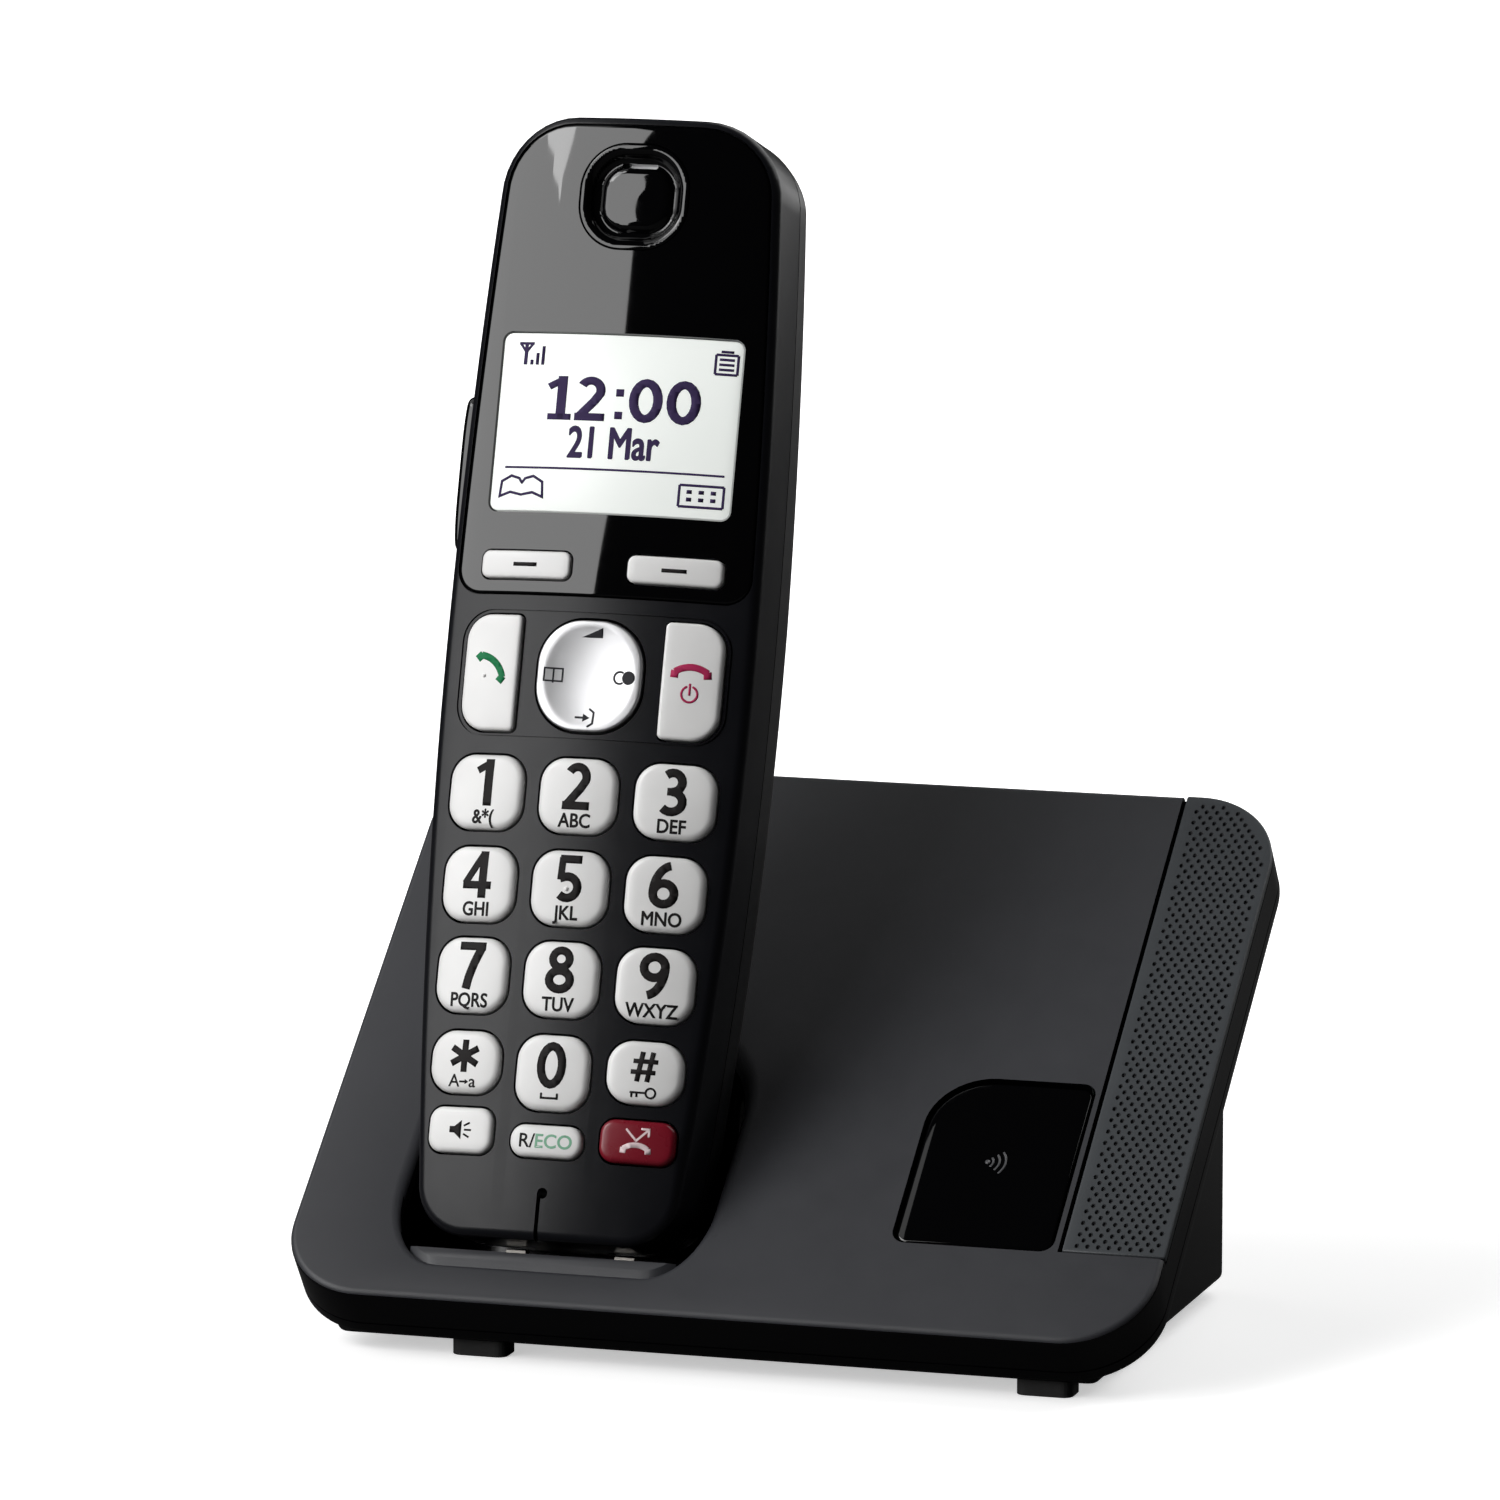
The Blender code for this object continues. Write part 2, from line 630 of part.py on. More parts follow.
def build_navigation(cover):
    """The dished four-way key, which rocks on a small pivot."""
    width, height = NAV_SIZE
    foot = FLANGE_DEPTH + FLANGE_THICKNESS
    centre = (0, 0, NAV_HEIGHT)
    key = extruded("nav_key", centred_outline(width, height, NAV_CORNER, 7), -PROUD, foot, FACING,
                   HANDSET_FRAME, centre)
    keep(key, front_solid("nav_top_form", NAV_RISE, 2 * ROOF_DEPTH))
    mesh = bpy.data.meshes.new("nav_dish")
    work = bmesh.new()
    bmesh.ops.create_uvsphere(work, u_segments=48, v_segments=32, radius=NAV_DISH_RADIUS)
    bmesh.ops.rotate(work, verts=work.verts, matrix=Matrix.Rotation(math.pi / 2, 3, "X"))
    work.to_mesh(mesh)
    work.free()
    dish = bpy.data.objects.new("nav_dish", mesh)
    dish.parent = HANDSET_FRAME
    dish.location = (0, NAV_DISH_DEPTH - NAV_RISE - NAV_DISH_RADIUS, NAV_HEIGHT)
    cut(key, dish)
    as_part(key, SILVER, 30)
    opening = centred_outline(width + 2 * NAV_GAP, height + 2 * NAV_GAP, NAV_CORNER + NAV_GAP, 7)
    cut(cover, key_hole("nav_key", 0, NAV_HEIGHT, opening, MAT_DEPTH))
    pivot = rod("nav_pivot", PIVOT_RADIUS, foot + GAP, BOARD_DEPTH - GAP, FACING, HANDSET_FRAME, centre)
    as_part(pivot, DARK_PLASTIC, 40)


def build_side_key(cover):
    """The long key in the left side, pressed across the handset."""
    surface = -half_width(SIDE_KEY_HEIGHT)
    half, length = SIDE_KEY_WIDTH / 2, SIDE_KEY_LENGTH / 2
    inner_face = GAP - half_width(SIDE_KEY_HEIGHT + length + FLANGE_LAP, COVER_WALL)
    outline = centred_outline(SIDE_KEY_WIDTH, SIDE_KEY_LENGTH, half * 0.8)
    key = extruded("side_key", outline, surface - SIDE_KEY_RISE, inner_face + FLANGE_THICKNESS,
                   SIDEWAYS, HANDSET_FRAME, (0, SIDE_KEY_DEPTH, SIDE_KEY_HEIGHT))
    slant = key.modifiers.new("chamfer", "BEVEL")
    slant.width = SIDE_KEY_CHAMFER
    slant.limit_method = "ANGLE"
    slant.angle_limit = math.radians(60)
    lap = FLANGE_LAP
    add(key, block("side_key_lip",
                   (inner_face, SIDE_KEY_DEPTH - half * 0.8, SIDE_KEY_HEIGHT - length - lap),
                   (inner_face + FLANGE_THICKNESS, SIDE_KEY_DEPTH + half * 0.8,
                    SIDE_KEY_HEIGHT + length + lap), HANDSET_FRAME))
    as_part(key, GLOSS_BLACK, 40)
    slot = centred_outline(SIDE_KEY_WIDTH + 2 * GAP, SIDE_KEY_LENGTH + 2 * GAP, half * 0.8 + GAP)
    cut(cover, extruded("side_key_slot", slot, surface - 2 * SIDE_KEY_RISE, inner_face, SIDEWAYS,
                        HANDSET_FRAME, (0, SIDE_KEY_DEPTH, SIDE_KEY_HEIGHT)))


def build_front_cover():
    cover = handset_form("handset_front_cover", 0, -PROUD, SPLIT_DEPTH)
    inside = barrel_outline(COVER_WALL, COVER_WALL, BOTTOM_CORNER - COVER_WALL)
    hollow = extruded("front_hollow", inside, ROOF_DEPTH, 2 * SPLIT_DEPTH, FACING, HANDSET_FRAME)
    cut(hollow, block("upper_roof", (-FAR, 0, UPPER_START), (FAR, UPPER_ROOF_DEPTH, FAR), HANDSET_FRAME))
    cut(cover, hollow)
    return as_part(cover, GLOSS_BLACK, 30)


def window_form(name, margin, outer, inner):
    """The glossy sheet over the upper front, or its seat when the margin is the clearance."""
    outline = barrel_outline(WINDOW_INSET - margin, WINDOW_BOTTOM - margin, WINDOW_CORNER + margin)
    form = extruded(name, outline, -PROUD, 2 * ROOF_DEPTH, FACING, HANDSET_FRAME)
    return keep(form, front_shell(name + "_sheet", outer, inner, HANDSET_WIDTH / 2 + MM))


def build_window(cover):
    window = window_form("display_window", 0, FRONT_RADIUS, FRONT_RADIUS - WINDOW_THICKNESS)
    seat = window_form("window_seat", GAP, FRONT_RADIUS + PROUD, FRONT_RADIUS - WINDOW_THICKNESS - GAP)
    cut(cover, seat)
    width, height = LENS_SIZE
    outline = centred_outline(width, height, LENS_CORNER)
    lens = extruded("display_lens", outline, -PROUD, 2 * ROOF_DEPTH, FACING, HANDSET_FRAME,
                    (0, 0, LENS_HEIGHT))
    sheet = front_shell("lens_sheet", FRONT_RADIUS, FRONT_RADIUS - WINDOW_THICKNESS, HANDSET_WIDTH / 2)
    keep(lens, sheet)
    as_part(lens, SCREEN, 30)
    opening = centred_outline(width + 2 * GAP, height + 2 * GAP, LENS_CORNER + GAP)
    cut(window, key_hole("display_lens", 0, LENS_HEIGHT, opening, UPPER_ROOF_DEPTH))
    half = width / 2 + MODULE_MARGIN
    reach = height / 2 + MODULE_MARGIN
    module = block("display_module", (-half, MODULE_DEPTH, LENS_HEIGHT - reach),
                   (half, MODULE_DEPTH + MODULE_THICKNESS, LENS_HEIGHT + reach), HANDSET_FRAME)
    as_part(module, METAL)
    half += GAP
    reach += GAP
    cut(cover, block("module_opening", (-half, 0, LENS_HEIGHT - reach),
                     (half, 2 * UPPER_ROOF_DEPTH, LENS_HEIGHT + reach), HANDSET_FRAME))
    return as_part(window, GLOSS_BLACK, 30)


def build_sound_parts(front, rear, window):
    """Earpiece with its speaker, microphone, and the ringer behind slots in the rear."""
    width, height = EAR_SIZE
    centre = (0, 0, EAR_HEIGHT)
    back = EAR_DISH + EAR_FLOOR
    cap = extruded("earpiece_cap", centred_outline(width, height, EAR_CORNER, 7), -PROUD, back, FACING,
                   HANDSET_FRAME, centre)
    keep(cap, front_solid("ear_form", 0, ROOF_DEPTH * 2))
    dish = centred_outline(width - 2 * EAR_RIM, height - 2 * EAR_RIM, EAR_CORNER - EAR_RIM, 7)
    cut(cap, key_hole("ear_dish", 0, EAR_HEIGHT, dish, EAR_DISH))
    slot = centred_outline(SLOT_LENGTH / 2, SLOT_WIDTH, SLOT_WIDTH * 0.45, 3)
    cut(cap, key_hole("ear_sound", 0, EAR_HEIGHT + height / 2 - EAR_RIM - SLOT_WIDTH, slot, 2 * back))
    as_part(cap, GLOSS_BLACK, 30)
    opening = centred_outline(width + 2 * GAP, height + 2 * GAP, EAR_CORNER + GAP, 7)
    hole = key_hole("earpiece_cap", 0, EAR_HEIGHT, opening, 2 * UPPER_ROOF_DEPTH)
    cut(window, hole)
    cut(front, hole)
    speaker = rod("earpiece_speaker", SPEAKER_RADIUS, back + GAP, back + GAP + SPEAKER_THICKNESS, FACING,
                  HANDSET_FRAME, centre)
    as_part(speaker, METAL, 40)
    mic_at = (0, 0, MIC_HEIGHT)
    mic = rod("microphone", MIC_RADIUS, ROOF_DEPTH + GAP, ROOF_DEPTH + GAP + MIC_THICKNESS, FACING,
              HANDSET_FRAME, mic_at, 16)
    as_part(mic, METAL, 40)
    cut(front, rod("mic_hole", MIC_HOLE, -PROUD, 2 * ROOF_DEPTH, FACING, HANDSET_FRAME, mic_at, 12))
    ringer_back = TOP_DEPTH - COVER_WALL - GAP
    ringer = rod("ringer_speaker", RINGER_RADIUS, ringer_back - RINGER_THICKNESS, ringer_back, FACING,
                 HANDSET_FRAME, (0, 0, RINGER_HEIGHT))
    as_part(ringer, METAL, 40)
    for index in range(RINGER_SLOTS):
        height = RINGER_HEIGHT + (index - (RINGER_SLOTS - 1) / 2) * SLOT_PITCH
        half = SLOT_LENGTH / 2
        cut(rear, block(f"ringer_slot_{index}", (-half, ringer_back - MM, height - SLOT_WIDTH / 2),
                        (half, 2 * HANDSET_DEPTH, height + SLOT_WIDTH / 2), HANDSET_FRAME))


def build_rear_cover():
    """The rear cover with its battery tub, and the seat that the door slides in."""
    cover = handset_form("handset_rear_cover", 0, SPLIT_DEPTH + GAP, 2 * HANDSET_DEPTH)
    hollow = handset_form("rear_hollow", COVER_WALL, 0, 2 * HANDSET_DEPTH)
    seat_back = DOOR_INNER - GAP
    seat_half = DOOR_WIDTH / 2 + GAP
    land = seat_half + DOOR_SEAT_WALL
    tub_half = TUB_HALF + TUB_WALL
    cut(hollow,
        block("seat_land", (-land, seat_back - DOOR_SEAT_WALL, -FAR),
              (land, FAR, DOOR_TOP + GAP + DOOR_SEAT_WALL), HANDSET_FRAME),
        block("tub_room", (-tub_half, 0, TUB_BOTTOM - TUB_WALL), (tub_half, FAR, TUB_TOP + TUB_WALL),
              HANDSET_FRAME))
    cut(cover, hollow)
    add(cover, block("tub_body", (-tub_half, TUB_DEPTH - TUB_FLOOR, TUB_BOTTOM - TUB_WALL),
                     (tub_half, seat_back - MM, TUB_TOP + TUB_WALL), HANDSET_FRAME))
    cut(cover,
        block("tub_inside", (-TUB_HALF, TUB_DEPTH, TUB_BOTTOM), (TUB_HALF, FAR, TUB_TOP), HANDSET_FRAME),
        block("door_seat", (-seat_half, seat_back, -FAR), (seat_half, FAR, DOOR_TOP + GAP), HANDSET_FRAME))
    return as_part(cover, SATIN_BLACK, 30)


def build_battery_parts():
    door = handset_form("battery_door", 0, DOOR_INNER, 2 * HANDSET_DEPTH)
    keep(door, block("door_bounds", (-DOOR_WIDTH / 2, 0, DOOR_BOTTOM), (DOOR_WIDTH / 2, FAR, DOOR_TOP),
                     HANDSET_FRAME))
    as_part(door, SATIN_BLACK, 30)
    start = TUB_BOTTOM + TUB_END_ROOM
    for name, side in (("battery_cell_left", -1), ("battery_cell_right", 1)):
        cell = rod(name, CELL_RADIUS, start, start + CELL_LENGTH, FLAT, HANDSET_FRAME,
                   (side * CELL_SPACING / 2, CELL_DEPTH, 0))
        as_part(cell, CELL_WRAP, 40)
    half = CELL_SPACING / 2 + CELL_RADIUS * 0.6
    reach = CELL_RADIUS * 0.6
    ends = (("battery_contact_low", TUB_BOTTOM + GAP),
            ("battery_contact_top", TUB_TOP - GAP - CONTACT_THICKNESS))
    for name, v in ends:
        contact = block(name, (-half, CELL_DEPTH - reach, v), (half, CELL_DEPTH + reach, v + CONTACT_THICKNESS),
                        HANDSET_FRAME)
        as_part(contact, METAL)


def build_terminals(rear):
    """The two plates in the handset's foot that meet the cradle's contacts."""
    width, depth = TERMINAL_SIZE
    for name, side in (("handset_terminal_left", -1), ("handset_terminal_right", 1)):
        u = side * TERMINAL_OFFSET
        low = (u - width / 2, TERMINAL_DEPTH - depth / 2, TERMINAL_SINK)
        high = (u + width / 2, TERMINAL_DEPTH + depth / 2, TERMINAL_SINK + TERMINAL_THICKNESS)
        as_part(block(name, low, high, HANDSET_FRAME), METAL)
        pocket_low = (low[0] - GAP, low[1] - GAP, -MM)
        pocket_high = (high[0] + GAP, high[1] + GAP, high[2] + GAP)
        cut(rear, block(name + "_pocket", pocket_low, pocket_high, HANDSET_FRAME))


def build_inner_parts():
    """Key mat and circuit board, both cut to the bowed outline."""
    inside = barrel_outline(BOARD_INSET, FUNCTION_BASE - MM, BOARD_CORNER)
    mat = extruded("key_mat", inside, MAT_DEPTH, MAT_DEPTH + MAT_THICKNESS, FACING, HANDSET_FRAME)
    cut(mat, block("mat_end", (-FAR, 0, UPPER_START - GAP), (FAR, FAR, FAR), HANDSET_FRAME),
        rod("pivot_hole", PIVOT_RADIUS + 2 * GAP, 0, 2 * BOARD_DEPTH, FACING, HANDSET_FRAME, (0, 0, NAV_HEIGHT)))
    as_part(mat, RUBBER)
    board = extruded("handset_circuit_board", inside, BOARD_DEPTH, BOARD_DEPTH + BOARD_THICKNESS, FACING,
                     HANDSET_FRAME)
    cut(board, block("board_end", (-FAR, 0, BOARD_TOP), (FAR, FAR, FAR), HANDSET_FRAME))
    return as_part(board, BOARD)


def screw(name, plane, frame, at, sign):
    """A countersunk screw seen from its head, its shank running inwards."""
    head = rod(name, SCREW_HEAD, 0, SCREW_HEAD_HEIGHT, plane, frame, at, 16)
    shank = rod(name + "_shank", SCREW_SHANK, SCREW_HEAD_HEIGHT / 2, SCREW_LENGTH, plane, frame, at, 12)
    add(head, shank)
    if sign < 0:
        for piece in (head, shank):
            piece.data.transform(Matrix.Scale(-1, 4, plane @ Vector((0, 0, 1))))
            piece.data.flip_normals()
    return as_part(head, STEEL, 40)


def build_cover_screws(front, rear, board):
    """Two screws in the upper rear cover, each in a counterbore with a boss around it."""
    post_radius = SCREW_SHANK + GAP + SCREW_WALL
    for name, side in (("cover_screw_left", -1), ("cover_screw_right", 1)):
        u = side * COVER_SCREW_X
        face = SPLIT_DEPTH + COVER_SCREW_LAND
        at = (u, face, COVER_SCREW_V)
        screw(name, FACING, HANDSET_FRAME, at, -1)
        boss = SCREW_HEAD + GAP + SCREW_WALL
        outer = rod(name + "_boss", boss, SPLIT_DEPTH + GAP, HANDSET_DEPTH, FACING, HANDSET_FRAME,
                    (u, 0, COVER_SCREW_V), 16)
        keep(outer, handset_form(name + "_reach", COVER_WALL / 2, 0, 2 * HANDSET_DEPTH))
        add(rear, outer)
        centre = (u, 0, COVER_SCREW_V)
        bore = rod(name + "_bore", SCREW_HEAD + GAP, face - SCREW_HEAD_HEIGHT - GAP, FAR, FACING,
                   HANDSET_FRAME, centre, 16)
        hole = rod(name + "_hole", SCREW_SHANK + GAP, 0, FAR / 2, FACING, HANDSET_FRAME, centre, 12)
        cut(rear, bore, hole)
        post = rod(name + "_post", post_radius, UPPER_ROOF_DEPTH - MM, SPLIT_DEPTH, FACING, HANDSET_FRAME,
                   centre, 16)
        add(front, post)
        cut(board, rod(name + "_pass", post_radius + GAP, 0, FAR / 2, FACING, HANDSET_FRAME, centre, 16))
        cut(front, rod(name + "_thread", SCREW_SHANK + GAP, face - SCREW_LENGTH - GAP, FAR / 2, FACING,
                       HANDSET_FRAME, centre, 12))


# Base

def slab_outline(inset):
    half = SLAB_WIDTH / 2 - inset
    return rounded_outline(-half, half, inset, SLAB_LENGTH - inset, SLAB_CORNER - inset, 6)


def well_outline(wall):
    """The cradle seen along the handset's length."""
    half = half_width(WELL_CORNER * 4) + WELL_SIDE_GAP + wall
    return rounded_outline(-half, half, WELL_FRONT - wall, HANDSET_DEPTH + WELL_REAR_GAP + wall,
                           WELL_CORNER + wall, 6)


def button_span():
    right = SLAB_WIDTH / 2 - STRIP_WIDTH - BUTTON_TO_STRIP
    return right - BUTTON_WIDTH, right


def button_outline(margin):
    left, right = button_span()
    radii = tuple(radius + margin for radius in
                  (BUTTON_SMALL_CORNER, BUTTON_SMALL_CORNER, BUTTON_CORNER, BUTTON_SMALL_CORNER))
    middle = ((left + right) / 2, STRIP_START + BUTTON_LENGTH / 2)
    outline = centred_outline(BUTTON_WIDTH + 2 * margin, BUTTON_LENGTH + 2 * margin, radii)
    return middle, outline


def build_top_cover():
    """Panel, its skirt and the cradle well, open underneath."""
    cover = extruded("base_top_cover", slab_outline(0), -COVER_BOTTOM, 0, FLAT, SLOPE_FRAME)
    cut(cover, extruded("panel_hollow", slab_outline(BASE_WALL), -FAR, -BASE_WALL, FLAT, SLOPE_FRAME))
    shell = extruded("well_shell", well_outline(WELL_WALL), -WELL_FLOOR_GAP - WELL_WALL, WELL_REACH, FLAT,
                     HANDSET_FRAME)
    cut(shell, block("above_panel", (-FAR, -FAR, -WELL_TOP_SKIN), (FAR, FAR, FAR), SLOPE_FRAME))
    add(cover, shell)
    cut(cover, extruded("well", well_outline(0), -WELL_FLOOR_GAP, WELL_REACH, FLAT, HANDSET_FRAME))
    return as_part(cover, SATIN_BLACK, 30)


def build_strip(cover):
    inner = SLAB_WIDTH / 2 - STRIP_WIDTH
    depth = STRIP_SINK + STRIP_THICKNESS
    strip = extruded("base_side_trim", slab_outline(0), -depth, -STRIP_SINK, FLAT, SLOPE_FRAME)
    keep(strip, block("strip_bounds", (inner, STRIP_START, -FAR), (FAR, FAR, FAR), SLOPE_FRAME))
    as_part(strip, STRIP_GREY)
    cut(cover, block("strip_seat", (inner - GAP, STRIP_START - GAP, -depth - GAP), (FAR, FAR, FAR),
                     SLOPE_FRAME))


def build_locator(cover):
    """The locator button, its stem and the switch that it presses."""
    (x, y), outline = button_outline(0)
    foot = BUTTON_SINK + BUTTON_THICKNESS
    button = extruded("locator_button", outline, -foot, -BUTTON_SINK, FLAT, SLOPE_FRAME, (x, y, 0))
    stem_foot = foot + STEM_LENGTH
    add(button, rod("button_stem", STEM_RADIUS, -stem_foot, -foot + MM, FLAT, SLOPE_FRAME, (x, y, 0), 16))
    as_part(button, GLOSS_BLACK, 30)
    _, opening = button_outline(BUTTON_GAP)
    cut(cover, extruded("button_opening", opening, -foot - BUTTON_TRAVEL - MM, FAR, FLAT, SLOPE_FRAME,
                        (x, y, 0)))
    half = SWITCH_SIZE / 2
    switch = block("locator_switch", (x - half, y - half, GAP - BASE_BOARD_DEPTH),
                   (x + half, y + half, -stem_foot - BUTTON_TRAVEL - GAP), SLOPE_FRAME)
    as_part(switch, DARK_PLASTIC)


def stand_height(y, depth):
    """Height at a place front to back of the plane that lies this deep under the panel."""
    up_slope = (y + BASE_DEPTH / 2 - depth * math.sin(SLOPE)) / math.cos(SLOPE)
    return EDGE_HEIGHT + up_slope * math.sin(SLOPE) - depth * math.cos(SLOPE)


def stand_wedge(name, inset, low, depth, half):
    """The wedge between the ground plane and the slab, drawn across the base."""
    rear = STAND_REAR - inset
    front = -BASE_DEPTH / 2 + SLAB_THICKNESS * math.sin(SLOPE)
    front_height = max(stand_height(front, depth), low + MM)
    outline = [(front, low), (rear, low), (rear, stand_height(rear, depth)), (front, front_height)]
    return extruded(name, outline, -half, half, SIDEWAYS, WORLD)


def build_bottom_cover():
    """Lower plate with the hollow stand below it."""
    top = SLAB_THICKNESS - PLATE_THICKNESS
    plate = extruded("base_bottom_cover", slab_outline(0), -SLAB_THICKNESS, -top, FLAT, SLOPE_FRAME)
    wedge = stand_wedge("stand_body", 0, STANDOFF, SLAB_THICKNESS - PLATE_THICKNESS / 2, STAND_HALF)
    plan = rounded_outline(-STAND_HALF, STAND_HALF, -BASE_DEPTH, STAND_REAR, STAND_CORNER)
    keep(wedge, extruded("stand_plan", plan, -FAR, FAR, FLAT, WORLD),
         extruded("slab_reach", slab_outline(GAP), -FAR, 0, FLAT, SLOPE_FRAME))
    add(plate, wedge)
    inner_half = STAND_HALF - BASE_WALL
    hollow = stand_wedge("stand_hollow", BASE_WALL, STANDOFF + BASE_WALL, STAND_WALL_TOP, inner_half)
    inner_plan = rounded_outline(-inner_half, inner_half, -BASE_DEPTH, STAND_REAR - BASE_WALL,
                                 STAND_CORNER - BASE_WALL)
    keep(hollow, extruded("hollow_plan", inner_plan, -FAR, FAR, FLAT, WORLD),
         block("hollow_start", (-FAR, STAND_MOUTH, -FAR), (FAR, FAR, FAR), SLOPE_FRAME))
    cut(plate, hollow)
    return as_part(plate, GLOSS_BLACK, 30)


def build_feet(cover):
    width, depth = FOOT_SIZE
    rear = STAND_REAR - FOOT_REAR_INSET
    front = FOOT_FRONT_Y - BASE_DEPTH / 2
    places = (("foot_front_left", FOOT_X[0], front), ("foot_front_right", FOOT_X[1], front),
              ("foot_rear_left", FOOT_X[0], rear), ("foot_rear_right", FOOT_X[1], rear))
    top = STANDOFF + FOOT_POCKET
    for name, x, y in places:
        foot = extruded(name, centred_outline(width, depth, FOOT_CORNER), 0, top - GAP, FLAT, WORLD, (x, y, 0))
        as_part(foot, RUBBER, 40)
        pocket = centred_outline(width + 2 * GAP, depth + 2 * GAP, FOOT_CORNER + GAP)
        cut(cover, extruded(name + "_pocket", pocket, -STANDOFF, top, FLAT, WORLD, (x, y, 0)))


def build_base_board(cover):
    """Circuit board under the panel's right half, on posts that rise from the stand's floor."""
    left, low = BOARD_START
    right, high = left + BASE_BOARD[0], low + BASE_BOARD[1]
    bottom = -BASE_BOARD_DEPTH - BOARD_THICKNESS
    board = block("base_circuit_board", (left, low, bottom), (right, high, -BASE_BOARD_DEPTH), SLOPE_FRAME)
    as_part(board, BOARD)
    for index, (x, y) in enumerate(((left, low), (right, low), (left, high), (right, high))):
        centre_x = x + BOARD_POST / 2 if x == left else x - BOARD_POST / 2
        centre_y = y + BOARD_POST / 2 if y == low else y - BOARD_POST / 2
        place = SLOPE_FRAME.matrix_world @ Vector((centre_x, centre_y, bottom))
        half = BOARD_POST / 2
        post = block(f"board_post_{index}", (place.x - half, place.y - half, STANDOFF + BASE_WALL / 2),
                     (place.x + half, place.y + half, place.z), WORLD)
        cut(post, block(f"post_top_{index}", (-FAR, -FAR, bottom - GAP), (FAR, FAR, FAR), SLOPE_FRAME))
        add(cover, post)


def build_jacks(cover):
    """Line and power sockets in the stand's rear wall."""
    mouth = STAND_REAR + JACK_PROUD
    width, depth, height = LINE_JACK
    low = (LINE_JACK_X - width / 2, mouth - depth, JACK_HEIGHT - height / 2)
    high = (LINE_JACK_X + width / 2, mouth, JACK_HEIGHT + height / 2)
    jack = block("line_jack", low, high, WORLD)
    socket_width, socket_depth, socket_height = LINE_SOCKET
    cut(jack, block("line_socket", (LINE_JACK_X - socket_width / 2, mouth - socket_depth,
                                    JACK_HEIGHT - socket_height / 2),
                    (LINE_JACK_X + socket_width / 2, mouth + MM, JACK_HEIGHT + socket_height / 2), WORLD))
    as_part(jack, DARK_PLASTIC)
    margin = Vector((GAP, GAP, GAP))
    cut(cover, block("line_window", Vector(low) - margin, Vector(high) + margin, WORLD))
    width, depth, height = POWER_JACK
    low = (POWER_JACK_X - width / 2, mouth - depth, JACK_HEIGHT - height / 2)
    high = (POWER_JACK_X + width / 2, mouth, JACK_HEIGHT + height / 2)
    power = block("power_jack", low, high, WORLD)
    centre = (POWER_JACK_X, 0, JACK_HEIGHT)
    bottom = mouth - POWER_SOCKET_DEPTH
    cut(power, rod("power_socket", POWER_SOCKET_RADIUS, bottom, mouth + MM, FACING, WORLD, centre))
    add(power, rod("power_pin", POWER_PIN_RADIUS, bottom - MM, mouth - POWER_PIN_RECESS, FACING, WORLD,
                   centre, 12))
    as_part(power, DARK_PLASTIC, 40)
    cut(cover, block("power_window", Vector(low) - margin, Vector(high) + margin, WORLD))


def build_base_screws(cover):
    """Two screws that come up through the stand's floor."""
    for name, side in (("base_screw_left", -1), ("base_screw_right", 1)):
        at = (side * SCREW_X, SCREW_BASE_Y - BASE_DEPTH / 2, STANDOFF + SCREW_SINK)
        screw(name, FLAT, WORLD, at, 1)
        boss = rod(name + "_boss", SCREW_HEAD + GAP + SCREW_WALL, BASE_WALL / 2,
                   SCREW_HEAD_HEIGHT + SCREW_WALL, FLAT, WORLD, at, 16)
        add(cover, boss)
        cut(cover, rod(name + "_bore", SCREW_HEAD + GAP, -STANDOFF, SCREW_HEAD_HEIGHT + GAP, FLAT, WORLD,
                       at, 16),
            rod(name + "_way", SCREW_SHANK + GAP, 0, SCREW_LENGTH, FLAT, WORLD, at, 12))


def build_charge_contacts(cover):
    """Two sprung contacts that rise through the cradle's floor."""
    width, depth = CONTACT_SIZE
    top = -CONTACT_CLEARANCE
    for name, side in (("charge_contact_left", -1), ("charge_contact_right", 1)):
        u = side * TERMINAL_OFFSET
        contact = block(name, (u - width / 2, TERMINAL_DEPTH - depth / 2, top - CONTACT_LENGTH),
                        (u + width / 2, TERMINAL_DEPTH + depth / 2, top), HANDSET_FRAME)
        foot_top = -WELL_FLOOR_GAP - WELL_WALL - GAP
        lap = width / 2 + FLANGE_LAP
        add(contact, block(name + "_foot", (u - lap, TERMINAL_DEPTH - lap, foot_top - CONTACT_FOOT),
                           (u + lap, TERMINAL_DEPTH + lap, foot_top), HANDSET_FRAME))
        as_part(contact, METAL)
        cut(cover, block(name + "_slot", (u - width / 2 - GAP, TERMINAL_DEPTH - depth / 2 - GAP, -FAR / 4),
                         (u + width / 2 + GAP, TERMINAL_DEPTH + depth / 2 + GAP, 0), HANDSET_FRAME))


top_cover = build_top_cover()
bottom_cover = build_bottom_cover()
build_strip(top_cover)
build_locator(top_cover)
build_charge_contacts(top_cover)
build_feet(bottom_cover)
build_base_board(bottom_cover)
build_jacks(bottom_cover)
build_base_screws(bottom_cover)

front_cover = build_front_cover()
rear_cover = build_rear_cover()
display_window = build_window(front_cover)
build_keys(front_cover)
build_soft_keys(front_cover, display_window)
build_navigation(front_cover)
build_side_key(front_cover)
build_sound_parts(front_cover, rear_cover, display_window)
build_battery_parts()
build_terminals(rear_cover)
handset_board = build_inner_parts()
build_cover_screws(front_cover, rear_cover, handset_board)

# The exact solver leaves a pinhole at the crown of the front cover.
for modifier in front_cover.modifiers:
    modifier.solver = "MANIFOLD"
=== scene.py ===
import json
import math

import bmesh
import bpy
from mathutils import Matrix, Vector
from mathutils.geometry import delaunay_2d_cdt


